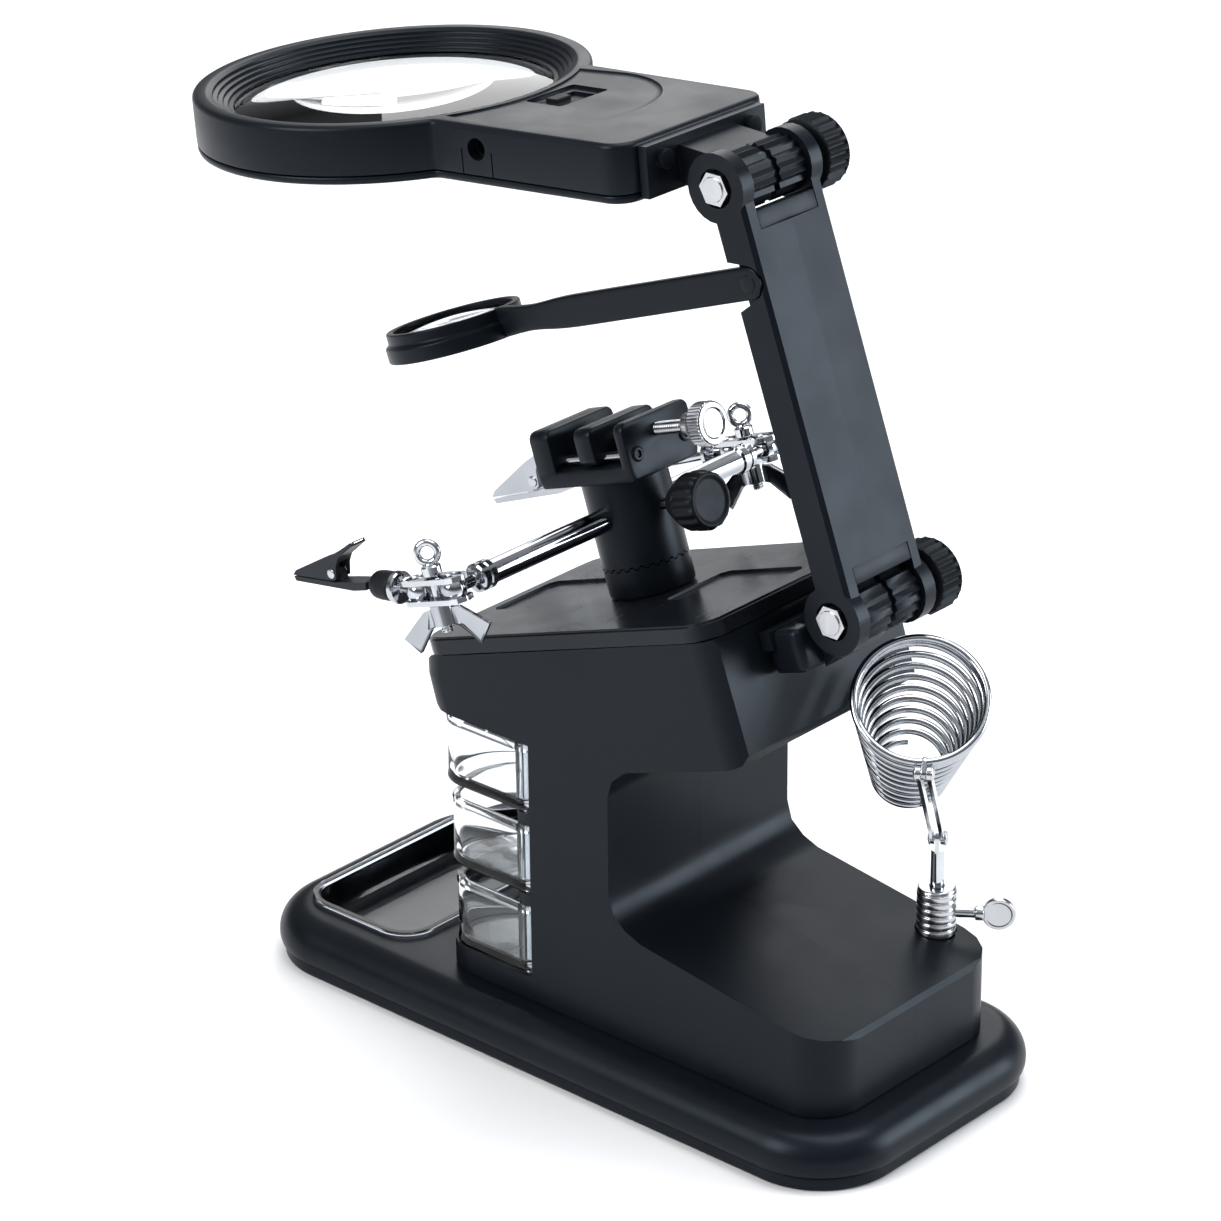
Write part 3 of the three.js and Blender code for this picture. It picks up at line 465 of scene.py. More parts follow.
def base_shell():
    """Rings from under the well, out, over the rim and back down into the well. The base's
    outline and the well's are read at the same directions, with straight lines between."""
    c = np.array([WELL_X, 0.0])
    rim = base_line(0)
    theta = np.arctan2(rim[:, 1] - c[1], rim[:, 0] - c[0])

    def well(d, z):
        w = rounded_rect(21 - d, 35.5 - d, max(9.5 - d, 0.5), 160, c[0], 0)
        a = np.arctan2(w[:, 1] - c[1], w[:, 0] - c[0])
        o = np.argsort(a)
        r = np.interp(theta, a[o], np.hypot(*(w - c).T)[o], period=2 * np.pi)
        return np.stack([c[0] + r * np.cos(theta), c[1] + r * np.sin(theta), np.full(len(r), z)], -1)

    def outer(d, z):
        return np.concatenate([base_line(d), np.full((len(rim), 1), z)], 1)

    low = [(6, 4.2), (1.9, 4.2), (0.9, 4.35), (0.3, 4.9), (0.06, 5.8)]
    nose = [(8.2 * (1 - math.cos(t)), 7.0 + 8.25 * math.sin(t)) for t in np.linspace(0, np.pi / 2, 14)]
    cols = [well(20, 4.2), well(3, 4.2)] + [outer(d, z) for d, z in low + nose]
    top, lip = cols[-1], well(-0.6, 15.25)
    cols += [top * (1 - s) + lip * s for s in np.linspace(0, 1, 7)[1:]]
    cols += [well(-0.15, 15.1), well(0, 14.6), well(0, 7.0), well(0.5, 5.9), well(2, 5.6), well(20.5, 5.6)]
    return skin("base_shell_moulded", np.stack(cols, 1), smooth=30)


dress(base_shell(), SATIN, nodes=("base_shell",))
foot = skin("base_plate_moulded", layers(lambda d: base_line(d + 1.5), [
    (1.2, 0.0), (0.35, 0.15), (0.05, 0.6), (0, 1.2), (0, 3.2), (0.2, 3.7), (0.8, 3.9)]), smooth=30)
dress(foot, SATIN, nodes=("base_bottom",))
print("base done")

# %% [markdown]
# ## Sponge tray
# A clear cup dropped into the well, with a flat flange round its mouth. Outer and inner
# walls are the same rounded rectangle at different insets, so one stack of layers that
# climbs outside, crosses the flange and comes back down inside makes the whole closed cup.

# %% Tray
def tray_line(d):
    """The tray's outline, pulled in by d."""
    return rounded_rect(20.6 - d, 35.1 - d, max(9.1 - d, 1.0), 20, WELL_X, 0)


tray = skin("sponge_tray_moulded", layers(tray_line, [
    (17, 6.0), (3.0, 6.0), (1.4, 6.4), (0.4, 8.2), (0.1, 14.9), (0.0, 15.5), (-1.2, 15.6), (-1.4, 15.9),
    (-1.35, 16.5), (-1.0, 16.8), (0.3, 16.8), (0.9, 16.3), (1.1, 15.2), (1.3, 9.4), (2.4, 7.7),
    (4.4, 7.2), (17, 7.2)]))
dress(tray, CUP, nodes=("sponge_tray",))

# %% [markdown]
# ## Tower, lid and hinges
# The tower is two moulded halves that meet on the middle line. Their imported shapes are
# kept and only their edges are softened; the fine gap between them is the parting line a
# real two-part moulding shows. The lid is glossier. The block under the lower hinge loses
# its tall flange and gets a rounder bracket, and the arm keeps a ridge down its front.

# %% Softened mouldings
for half in ("body_near", "body_far"):
    softened(half, 1.1, SATIN, angle=40, seam=0.4)
softened("lid", 0.7, GLOSSY)
hinge = bake(softened("hinge_block", 0.45, SATIN, angle=45))
carve(hinge, [block("cut_flange", 58, 72.3, -22, 22, -30, -8, deck, 0.3, 0.1)])
carve(hinge, [block("bracket", 60.8, 72.3, -18.5, 18.5, -15, -3.2, deck, 2.2, 1.6)], "UNION")
softened("head_hinge", 0.45, SATIN, angle=45)
arm = softened("arm", 0.8, SATIN, angle=30, smooth=25)
co = np.array([v.co for v in arm.data.vertices])
ends = np.array([e.vertices[:] for e in arm.data.edges])
edge_length = np.linalg.norm(np.diff(co[ends], axis=1)[:, 0], axis=1)
ridge = (np.abs(co[ends][:, :, 1]) < 1e-4).all(1) & (edge_length > 0.02)
sharp = np.zeros(len(ends), bool)
arm.data.attributes["sharp_edge"].data.foreach_get("value", sharp)
arm.data.attributes["sharp_edge"].data.foreach_set("value", sharp | ridge)
print("arm ridge edges", int(ridge.sum()))

# %% [markdown]
# The arm ends in a fork at each hinge, and a thin web closes each fork in front of the
# barrel. A frame along the line from hinge to hinge makes both webs plain blocks. The
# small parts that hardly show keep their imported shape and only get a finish.

# %% Webs, door, switch and inner parts
reach = np.array(HINGE_HI) - HINGE_LO
arm_length = np.hypot(*reach)
beam = place((HINGE_LO[0], 0, HINGE_LO[1]), (reach[1], 0, -reach[0]), (reach[0], 0, reach[1]))
for tag, z0, z1 in (("lower", 7.9, 12.8), ("upper", arm_length - 12.8, arm_length - 7.6)):
    web = block("arm_web_" + tag, 3.6, 7.5, -11.25, 11.25, z0, z1, beam, 0.4, 0.4)
    dress(web, SATIN, body="arm")
softened("battery_door", 0.4, DULL)
softened("switch_slider", 0.3, DULL)
for finish, nodes in ((CAST, ("base_weight",)), (LAMP, ("led_ring",)), (DULL, ("dc_jack",)),
                      (CHROME, ("drawer_pin", "aux_pin", "guide_rod_1", "guide_rod_2")),
                      (CELL, ("battery_1", "battery_2", "battery_3"))):
    for node in nodes:
        NODES[node].data.materials.clear()
        NODES[node].data.materials.append(finish)

# %% [markdown]
# Each drawer is an open box of thin clear plastic, with big round corners at the front, a
# thick rim, a partition, and a solid corner where the pin goes through. Its walls are one
# stack of outlines: out along the floor, up outside, over the rim, down inside.

# %% Drawers
def drawer(node, x0, z0, z1):
    """A drawer whose front is at x0, from z0 to z1; its corners lose d of radius as the
    outline is pulled in by d, so the walls stay even."""
    sharp = np.array([(x0, 33.4), (x0, -37.0), (-8.0, -37.0), (-8.0, 33.4)])

    def line(d):
        inset = sharp + np.array([(d, -d), (d, d), (-d, d), (-d, -d)])
        r = np.clip(np.array([9.0, 9.0, 3.8, 1.6]) - d, 0.1, None)
        return soft_path(inset, r, 12, closed=True)

    walls = skin(node + "_walls", layers(line, [
        (14, z0), (1.3, z0), (0.4, z0 + 0.25), (0.0, z0 + 0.9), (0.0, z0 + 2.0), (0.25, z0 + 2.4),
        (0.25, z1 - 2.6), (0.0, z1 - 2.2), (0.0, z1 - 0.4), (0.35, z1), (1.7, z1), (2.1, z1 - 0.4),
        (2.1, z1 - 2.1), (1.45, z1 - 2.7), (1.5, z0 + 3.2), (2.6, z0 + 1.8), (14, z0 + 1.7)]))
    wall = block("partition", x0 + 1.5, -9.6, -2.9, -1.5, z0 + 1.75, z1 - 1.4, world, 0.3, 0.2)
    post = block("corner", -14.2, -9.4, -35.5, -31.1, z0 + 1.75, z1 - 0.6, world, 1.8, 0.3)
    dress(joined(node + "_moulded", [walls, wall, post]), CLEAR, nodes=(node,))


drawer("drawer_low", -39.6, 22.9, 43.7)
drawer("drawer_mid", -40.6, 47.8, 68.2)
drawer("drawer_top", -42.2, 72.3, 92.7)
print("drawers done")

# %% [markdown]
# ## Magnifier head
# The outline of the head is a circle with an oblong body growing out of it. Seen from the
# lens's centre every point of that outline is visible, so the head can be one surface that
# runs out along rays: up the lens pocket, over the stepped funnel, across the top and down
# the outer wall. The outline is built from its arcs, and insets follow its normals.

# %% Head outline
def head_line(n=900):
    """Ring of radius 54, a body whose sides taper from 30.8 to 29, corners of radius 7;
    points are spread evenly along the length, and come with their outward normals."""
    a0 = math.asin(30.8 / 54)
    arc = np.linspace(a0, 2 * np.pi - a0, 260)
    ring = np.stack([54 * np.cos(arc), 54 * np.sin(arc)], -1)
    u = np.linspace(0, np.pi / 2, 24)
    low = np.stack([101.6 + 7 * np.sin(u), -22.2 - 7 * np.cos(u)], -1)
    pts = np.concatenate([ring, low, (low * [1, -1])[::-1]])
    loop = np.concatenate([pts, pts[:1]])
    s = np.concatenate([[0], np.cumsum(np.hypot(*np.diff(loop, axis=0).T))])
    t = np.arange(n) * s[-1] / n
    P = np.stack([np.interp(t, s, loop[:, k]) for k in (0, 1)], -1)
    for _ in range(6):
        P = 0.5 * P + 0.25 * (np.roll(P, 1, 0) + np.roll(P, -1, 0))
    T = np.roll(P, -1, 0) - np.roll(P, 1, 0)
    N = np.stack([T[:, 1], -T[:, 0]], -1)
    return P, N / np.linalg.norm(N, axis=1)[:, None]


HP, HN = head_line()
HANG = np.arctan2(HP[:, 1], HP[:, 0])


def head_rows(stages):
    """(kind, size, height): 'o' is the outline pulled in by size, 'c' a circle of radius
    size read at the outline's own directions."""
    cols = []
    for kind, s, h in stages:
        xy = HP - HN * s if kind == "o" else np.stack([s * np.cos(HANG), s * np.sin(HANG)], -1)
        cols.append(np.concatenate([xy, np.full((len(xy), 1), h)], 1))
    return at(head, np.stack(cols, 1))


steps = [("c", 45.4, -13.3), ("c", 45.4, -5.5), ("c", 43.4, -5.4), ("c", 43.1, -5.1), ("c", 43.3, -4.8)]
for k, r in enumerate((44.6, 45.9, 47.2, 48.5)):
    z = -3.9 + 1.05 * k
    steps += [("c", r - 0.15, z - 0.75), ("c", r, z - 0.55), ("c", r + 0.05, z), ("c", r + 0.25, z + 0.12)]
steps += [("c", 49.5, -0.25), ("c", 49.9, -0.06), ("c", 50.4, 0.0)]
steps += [("o", 1.6, 0.0), ("o", 0.95, -0.08), ("o", 0.45, -0.35), ("o", 0.12, -0.8), ("o", 0.0, -1.5),
          ("o", 0.0, -7), ("o", 0.0, -12.7), ("o", 0.15, -13.15), ("o", 0.5, -13.3)]
shell = skin("head_shell_moulded", head_rows(steps), wrap_v=True, smooth=28)

# %% [markdown]
# The near wall has the round hole for the lead's plug, and a U-shaped seam under it where
# the two halves of the moulding meet. The top has a shallow crescent dish with the
# switch's slot in it. These are cut out, because a cut leaves the crisp edge a mould does.

# %% Cuts in the head
hole = turned("cut_hole", soft_path([(0, 8), (3.0, 8), (3.0, -12), (0, -12)], 0.05),
              along(at(head, (59.4, -28, -6.2)), (0, 1, 0)), 48)
slot_cut = block("cut_slot", 53.0, 66.0, -4.6, 14.1, -1.5, 2, head, 1.2, 0.1)
grip_cut = block("cut_grip", 55.6, 63.4, -2.6, 11.6, -2.5, 2, head, 0.8, 0.1)
half_turn = np.linspace(-0.5 * np.pi, 0.5 * np.pi, 40)
outer_arc = np.stack([60 + 28 * np.cos(half_turn), 30 * np.sin(half_turn) * 0.93], -1)
inner_arc = 51.8 * np.stack([np.cos(half_turn[::-1] * 0.335), np.sin(half_turn[::-1] * 0.335)], -1)
dish_line = np.concatenate([outer_arc, inner_arc])
middle = dish_line.mean(0)
dish = skin("cut_dish", at(head, np.stack([
    np.concatenate([middle + (dish_line - middle) * k, np.full((80, 1), h)], 1)
    for k, h in ((0.90, -0.55), (0.975, -0.5), (0.99, -0.3), (1.0, 0.1), (1.0, 2.0))], 1)))
seam = joined("cut_seam", [block("seam", x, x + 0.4, -32, -29.2, -14, -6.5, head, 0.1, 0.02)
                           for x in (54.1, 64.3)])
carve(shell, [hole, dish, slot_cut, grip_cut, seam])
dress(shell, SATIN, nodes=("head_shell",))

# %% [markdown]
# The underside is a flat ring-and-body plate made from the same rays, with eight lamp
# holes round the lens and an opening for the battery door. A ground lens is two shallow
# curves that meet a cylinder at the rim, so it is a turned profile; a thin ring holds it.

# %% Head underside, lens, retainer
underside = skin("head_base_moulded", head_rows([
    ("c", 43.7, -15.6), ("c", 43.7, -13.8), ("c", 43.9, -13.6), ("o", 0.7, -13.6), ("o", 0.3, -13.72),
    ("o", 0.12, -14.0), ("o", 0.1, -14.6), ("o", 0.35, -15.3), ("o", 0.9, -15.7), ("o", 1.6, -15.8),
    ("c", 44.6, -15.8), ("c", 44.0, -15.75)]), wrap_v=True, smooth=30)
LAMPS, LAMP_R = 8, 49.2
lamp_holes = []
for i in range(LAMPS):
    a = (i + 0.5) * 2 * math.pi / LAMPS
    spot = (at(head, (LAMP_R * math.cos(a), LAMP_R * math.sin(a), 0)), head[1])
    lamp_holes.append(turned("cut_lamp", [(0, -12), (2.7, -12), (2.7, -18), (0, -18)], spot, 20))
carve(underside, [joined("cut_lamps", lamp_holes),
                  block("cut_door", 56, 103, -17.5, 17.5, -20, -10, head, 1.0, 0.05)])
dress(underside, SATIN, nodes=("head_base",))


def lens_line(radius, top, drop, bottom, rise):
    """Two parabolas: z = top - drop·t² going out and z = bottom + rise·t² coming back, with
    t from 0 on the axis to 1 at the rim."""
    q = np.linspace(0, 1, 24)
    return [(radius * t, top - drop * t ** 2) for t in q] + [(radius * t, bottom + rise * t ** 2)
                                                             for t in q[::-1]]


dress(turned("main_lens_ground", lens_line(45, -2.1, 3.8, -12.2, 4.3), head, 128, smooth=50), GLASS,
      nodes=("main_lens",))
retainer_line = soft_path([(45.1, -13.2), (45.1, -9.2), (43.5, -9.2), (43.5, -13.2)], 0.3, closed=True)
dress(turned("lens_retainer_turned", retainer_line, head, 128, wrap=True), SATIN, nodes=("lens_retainer",))
print("head done")

# %% [markdown]
# ## Knobs
# Both hinges are tightened by a black knob with a coarse grip. A turned profile gives the
# body, and a wave round the rim gives the grip: the radius is lowered by a smooth comb of
# notches, faded out toward the hub and the front face.

# %% Hinge knobs
def comb(count, depth, z0, z1, sharp, r_min):
    """Radius minus depth·|sin(count·u/2)|^sharp between heights z0 and z1."""
    def wave(u, r, z):
        mask = np.clip((z - z0) / 0.4, 0, 1) * np.clip((z1 - z) / 0.4, 0, 1) * (r > r_min)
        return r - depth * mask * np.abs(np.sin(count * u / 2)) ** sharp, z
    return wave


hub = [(2.7, 15.8), (6.1, 15.8), (6.2, 16.3), (6.2, 17.9), (8.6, 18.2), (9.6, 18.5), (9.85, 19.1),
       (9.85, 25.4), (9.6, 26.0), (9.0, 26.3), (7.4, 26.3), (7.0, 25.7), (6.6, 25.5), (2.7, 25.3)]
for end, (x, z) in (("lower", HINGE_LO), ("upper", HINGE_HI)):
    knob = turned(end + "_knob_gripped", soft_path(hub, 0.35, 3, closed=True), along((x, 0, z), (0, 1, 0)),
                  288, wrap=True, wave=comb(24, 1.1, 18.4, 26.1, 1.2, 8.0), smooth=40)
    dress(knob, DULL, nodes=(end + "_knob",))
    softened(end + "_bolt", 0.35, NICKEL, angle=40)

# %% [markdown]
# ## Swing-out lens
# A thin bar carries a ring of two stepped bands with a small lens in it. The ring is a
# closed profile carried round a circle, the bar a slab with soft edges that runs into it.

# %% Small lens and its bar
AUX_PIN = (50.7, -13.75, 232.3)
RING_X = -110.3
aux = leaning(AUX_PIN, 0.354)
ring_fr = (at(aux, (RING_X, 0, 0)), aux[1])
bands = soft_path([(17.4, -4.2), (19.4, -4.2), (19.7, -3.9), (19.7, -0.1), (18.9, 0.5), (18.6, 0.9),
                   (18.6, 3.5), (18.3, 3.8), (16.9, 3.8), (16.6, 3.5), (16.6, 2.2), (17.4, 2.1)],
                  0.3, 3, closed=True)
ring = turned("aux_ring", bands, ring_fr, 128, wrap=True)


def squarish(v):
    """A sine pushed toward ±1, which turns a round section into a slab with soft edges."""
    return np.sign(v) * np.abs(v) ** 0.28


BAR_R = 4.25  # the bar ends in a half round about the pin
xs = RING_X + 18.2 + (-RING_X + BAR_R - 18.2) * np.linspace(0, 1, 60) ** 0.9
th = 2 * np.pi * np.arange(40)[:, None] / 40
half_h = np.sqrt(4.3 ** 2 - np.clip(xs, 0, BAR_R) ** 2) - 0.9 * np.exp(-((xs - RING_X - 30) / 9.0) ** 2)
bar = skin("aux_bar", at(aux, np.stack([
    xs[None] + 0 * th, 1.7 * squarish(np.cos(th)) + 0 * xs[None], half_h[None] * squarish(np.sin(th))], -1)))
dress(joined("aux_frame_moulded", [ring, bar]), SATIN, nodes=("aux_frame",))
dress(turned("aux_lens_ground", lens_line(17, 3.5, 2.4, -3.0, 3.3), ring_fr, 96, smooth=50), GLASS,
      nodes=("aux_lens",))
screw = turned("aux_screw_head", soft_path([(0, 0.2), (2.2, 0.15), (2.4, -0.3), (2.4, -0.6), (0, -0.6)], 0.2),
               along((AUX_PIN[0], -15.5, AUX_PIN[2]), (0, -1, 0)), 32)
dress(screw, SATIN, body="arm")
print("small lens done")

# %% [markdown]
# ## Post and vise
# The post is a cup with a ring of small teeth that the neck above drops into, so the vise
# can be set at an angle. The tooth line is one height that steps up and down round the
# post, shared by both rims with a fine gap between them.

# %% Toothed post
def tooth(u):
    """Height of the tooth line: a sine of 26 waves, squared off by a tanh."""
    return 13.35 + 0.35 * np.tanh(4 * np.sin(26 * u))


def cup_wave(u, r, z):
    """The cup's top rim follows the tooth line, 0.2 mm under it."""
    return r, np.where(z > 12.9, tooth(u) - 0.2 + 0 * z, z)


def neck_wave(u, r, z):
    """The neck's bottom rim follows the tooth line, 0.2 mm over it."""
    return r, np.where(z < 13.9, tooth(u) + 0.2 + 0 * z, z)


post = (at(deck, (POST_S, 0, 0)), deck[1])
cup = [(0, 5.3), (11.2, 5.3), (11.7, 5.5), (11.85, 6.0), (11.85, 10), (11.85, 13.0), (10.4, 13.0), (0, 13.0)]
dress(turned("post_cup_moulded", cup, post, 312, wave=cup_wave), SATIN, nodes=("post_cup",))
neck = [(0, 13.5), (10.4, 13.5), (11.9, 13.5), (11.9, 14.6), (11.9, 22), (11.9, 33), (11.9, 37.3),
        (11.6, 37.7), (0, 37.7)]

# %% [markdown]
# The vise is a floor with an upright cheek at each end and a jaw that slides between them.
# The cheeks are rounded plates set into the floor, so the three are united into one piece
# together with the neck below.

# %% Vise body and jaw
slide = place(at(deck, (0, 0, 0)), deck[1][2], deck[1][0])


def cheek(name, h0, h1, s0, s1, half=13.3):
    """An upright plate across the vise: a rounded rectangle in height and width,
    from s0 to s1 along the screw, with a soft edge on both faces."""
    return block(name, h0, h1, -half, half, s0, s1, slide, 2.4, 0.6)


body = block("vise_floor", -11.6, 23.4, -13.3, 13.3, 37.4, 42.0, deck, 1.4, 0.9)
carve(body, [cheek("end", 37.5, 53.3, -11.6, -4.6), cheek("plate", 37.5, 53.3, 20.2, 23.4),
             turned("neck_smooth", neck, post, 312, wave=neck_wave)], "UNION")
body.name = "vise_body_moulded"
dress(body, SATIN, nodes=("vise_body",))
dress(cheek("vise_jaw_moulded", 42.4, 52.8, 4.8, 10.8, 13.0), SATIN, nodes=("vise_jaw",))

# %% [markdown]
# The vise's screw is one turned piece: a threaded shaft, a collar and a wheel with fine
# ridges. The thread is a sine in height that shifts by one wave each turn, which needs many
# points along the shaft, so extra ones are put in there. The knob below clamps the rod.

# %% Vise screw, guide ends and clamp knob
def deck_along(y, h):
    """A frame at height h over the deck; its z runs along the deck and its x across."""
    return place(at(deck, (0, y, h)), deck[1][1], deck[1][0])


wheel = [(0, 7.4), (1.7, 7.4), (1.7, 34.4), (3.2, 34.6), (3.4, 35.0), (3.4, 37.6), (2.9, 38.6), (5.5, 38.9),
         (6.0, 39.4), (6.0, 43.6), (5.6, 44.1), (4.2, 44.2), (3.9, 43.7), (0, 43.6)]
THREAD_FROM, THREAD_TO, THREAD_STEPS = 9.0, 34.0, 188


def screw_wave(u, r, z):
    """Thread: a fine sine along the shaft; wheel: a comb of 40 ridges."""
    thread = 0.13 * np.sin(2 * np.pi * z / 0.8 - u) * ((z > THREAD_FROM) & (z < THREAD_TO) & (r > 1.5))
    knurl = 0.45 * np.abs(np.sin(20 * u)) * ((z > 39.2) & (z < 43.9) & (r > 5))
    return r + thread - knurl, z


outline = soft_path(wheel, 0.25, 2)
first = int(np.argmax(outline[:, 1] > THREAD_FROM))
shaft = np.stack([np.full(THREAD_STEPS, 1.7), np.linspace(THREAD_FROM, THREAD_TO, THREAD_STEPS)], -1)
outline = np.concatenate([outline[:first], shaft, outline[first:]])
dress(turned("vise_screw_turned", outline, deck_along(0, 48.5), 240, wave=screw_wave), NICKEL,
      nodes=("vise_screw",))
cap_line = soft_path([(0, 22.6), (2.1, 22.6), (2.1, 23.75), (1.6, 23.95), (1.0, 23.95), (0.9, 23.0), (0, 23.0)],
                     0.12)
for i, y in enumerate((-9.4, 9.4)):
    cap = turned("guide_end_%d" % i, cap_line, deck_along(y, 44.3), 32)
    dress(cap, SATIN, body="vise")
bell = [(0, 22.6), (3.4, 22.6), (3.9, 23.0), (5.6, 25.4), (7.6, 28.6), (8.1, 30.2), (8.1, 34.6), (7.7, 35.8),
        (6.8, 36.3), (6.2, 36.0), (5.6, 35.7), (0, 35.6)]
knob_fr = deck_along(0, 28.0)
knob = turned("rod_knob_gripped", soft_path(bell, 0.5, 3), knob_fr, 240,
              wave=comb(15, 0.55, 28.5, 36.0, 2.5, 6.0))
pin = turned("rod_knob_shaft", soft_path([(0, 10.5), (1.5, 10.5), (1.5, 23), (0, 23)], 0.15), knob_fr, 32)
dress(knob, DULL, nodes=("rod_knob",))
dress(pin, CHROME, body="rod_knob")
print("vise done")

# %% [markdown]
# ## Cross rod and the two ball joints
# One plated rod slides through the post. Each end has a ferrule, a thin neck and a ball.
# Two pressed plates pinch that ball and the clip's ball, and a wing nut on an eye bolt
# squeezes them together.

# %% Cross rod
rod_fr = place(at(deck, (POST_S, 0, ROD_H)), deck[1][0], (0, 1, 0))


def ball_arc(c, r, r_neck, sign):
    """Arc of a ball from its neck to its pole, centre at height c."""
    t = np.linspace(math.asin(r_neck / r), math.pi, 14)
    return [(r * math.sin(k), c - sign * r * math.cos(k)) for k in t]


left = ball_arc(-69.0, 3.5, 1.7, -1)[::-1]
right = ball_arc(55.0, 3.5, 1.7, 1)
rod = left + [
    (1.7, -64), (1.75, -61.4), (3.2, -61.2), (3.9, -60.7), (3.9, -59.2), (3.55, -58.9), (3.55, -58.4),
    (3.9, -58.1), (3.9, -56.4), (3.3, -56.0), (3.2, -55.5), (3.2, -20), (3.2, 20), (3.2, 41.6), (3.3, 42.0),
    (3.9, 42.4), (3.9, 44.4), (3.55, 44.7), (3.55, 45.2), (3.9, 45.4), (3.9, 46.7), (3.2, 47.2),
    (1.75, 47.4), (1.7, 50)] + right
dress(turned("cross_rod_turned", rod, rod_fr, 64), DARKCHROME, nodes=("cross_rod",))


# %% Eye bolts
def bolt_thread(u, r, z):
    """A fine sine that climbs 0.7 mm each turn, on the shaft below the plates only."""
    return r + 0.12 * np.sin(2 * np.pi * z / 0.7 - u) * ((z < -3) & (z > -11.2) & (r > 1.2)), z


def eye_bolt(side, y):
    """A threaded shaft with a collar, and over it a ring: a torus of radii 2.7 and 0.98 that
    stands upright, turned 35 degrees about the shaft."""
    fr = (at(deck, (POST_S - 6.5, y, ROD_H)), deck[1])
    line = [(0, -11.5), (1.35, -11.45)] + [(1.5, z) for z in np.linspace(-11.3, -3, 60)] + [
        (1.55, 3.6), (2.5, 3.75), (2.7, 4.0), (2.7, 6.2), (2.4, 6.6), (1.7, 6.8), (1.5, 7.2), (0, 7.3)]
    shaft = turned("shaft", line, fr, 48, wave=bolt_thread)
    v = 2 * np.pi * np.arange(48)[:, None] / 48
    w = 2 * np.pi * np.arange(16)[None] / 16
    c, s = math.cos(math.radians(35)), math.sin(math.radians(35))
    out, off = 2.7 + 0.98 * np.cos(w), 0.98 * np.sin(w)
    eye = np.stack([out * np.cos(v) * c - off * s, out * np.cos(v) * s + off * c, 9.9 + out * np.sin(v)], -1)
    ring = skin("eye", at(fr, eye), wrap_v=True)
    dress(joined(side + "_eye_bolt", [shaft, ring]), CHROME, nodes=(side + "_bolt",))


# %% Stems and sleeves
def stem_and_sleeve(side, fr, stem, finish):
    """On the frame's z: a ball, a neck, a ferrule and, on a long stem, a bare rod; then the
    sleeve that holds the clip, ending `stem` mm from the ball's centre."""
    ball = [(3.5 * math.sin(t), -3.5 * math.cos(t))
            for t in np.linspace(0, math.pi - math.asin(1.25 / 3.5), 14)]
    line = ball + [(1.25, 6.2), (1.5, 6.35), (4.1, 6.4), (4.4, 6.8), (4.4, 8.0), (4.1, 8.4), (1.35, 8.5)]
    if stem > 30:
        line += [(1.35, 20), (1.35, 40), (1.35, stem - 9), (2.0, stem - 8.6)]
    line += [(1.4, stem - 7.6), (0, stem - 7.5)]
    dress(turned(side + "_stem_turned", line, fr, 48), CHROME, nodes=(side + "_stem",))
    a = max(8.55, stem - 8)
    sleeve = [(0, a), (3.4, a), (3.8, a + 0.4), (4.0, a + 1.0), (3.95, stem - 2.6), (3.7, stem - 0.8),
              (3.2, stem), (0, stem)]
    dress(turned(side + "_sleeve", soft_path(sleeve, 0.3, 3), fr, 48), finish, body=side + "_grip")


# %% Springs, rivets and finger pads of the clips
def clip_fittings(side, fr, stem, scale):
    """Round the clip's pin: a helix of five turns on each side and two rivet heads. On the
    lever's tip: a folded strip, tipped 30 degrees down."""
    px, pz = stem + 0.3 + 13.9 * scale, 2.0 * scale
    lug = 1.1 * scale
    span = 2.7 * scale - lug - 0.5
    t = np.linspace(0, 2 * np.pi * 5, 120)
    rivet = np.array([(0, 2.5), (1.35, 2.5), (1.3, 2.95), (0.8, 3.1), (0, 3.12)]) * scale
    for way, tag in ((1, "a"), (-1, "b")):
        coil = np.stack([px + 1.5 * scale * np.cos(t), way * (lug + 0.35 + span * 0.75 * t / t[-1]),
                         pz + 1.5 * scale * np.sin(t)], -1)
        dress(tube(side + "_clip_spring_" + tag, at(fr, coil), 0.22 * scale, 8), NICKEL,
              body=side + "_grip")
        dress(turned(side + "_rivet_" + tag, soft_path(rivet, 0.15), along(at(fr, (px, 0, pz)), fr[1][1] * way),
                     32), NICKEL, body=side + "_grip")
    tip = at(fr, (stem + 0.3 + 5.0 * scale, 0, 11.3 * scale))
    pad = block(side + "_pad", -0.2 * scale, 6.0 * scale, -2.5 * scale, 2.5 * scale, -0.45, 0.12,
                place(tip, fr[1][0] * 0.866 - fr[1][2] * 0.5, fr[1][2]), 0.5, 0.12)
    dress(pad, CHROME, body=side + "_lever")


# %% The two hands
def hand_joint(side, y, lift, stem, scale, sleeve_finish, clip_finish):
    """Everything from the rod's ball to the clip. `lift` is how far the stem rises from the
    deck, in radians; `scale` is the clip's size against the near one."""
    for plate in ("_plate_top", "_plate_bottom"):
        softened(side + plate, 0.35, CHROME, angle=40)
    eye_bolt(side, y)
    softened(side + "_wing", 0.3, DARKCHROME, angle=35, panel_mm2=11)
    ahead, over = deck[1][0], deck[1][2]
    axis = -ahead * math.cos(lift) + over * math.sin(lift)
    above = ahead * math.sin(lift) + over * math.cos(lift)
    fr = place(at(deck, (POST_S - 13, y, ROD_H)), axis, above)
    stem_and_sleeve(side, place(fr[0], above, axis), stem, sleeve_finish)
    for jaw in ("_clip_lower", "_clip_upper"):
        softened(side + jaw, 0.3 * scale, clip_finish, angle=35)
    clip_fittings(side, fr, stem, scale)


hand_joint("near", -69.0, 0.157, 15.7, 1.0, DULL, ENAMEL)
hand_joint("far", 55.0, -0.075, 60.0, 1.25, CHROME, DARKCHROME)
print("hands done")

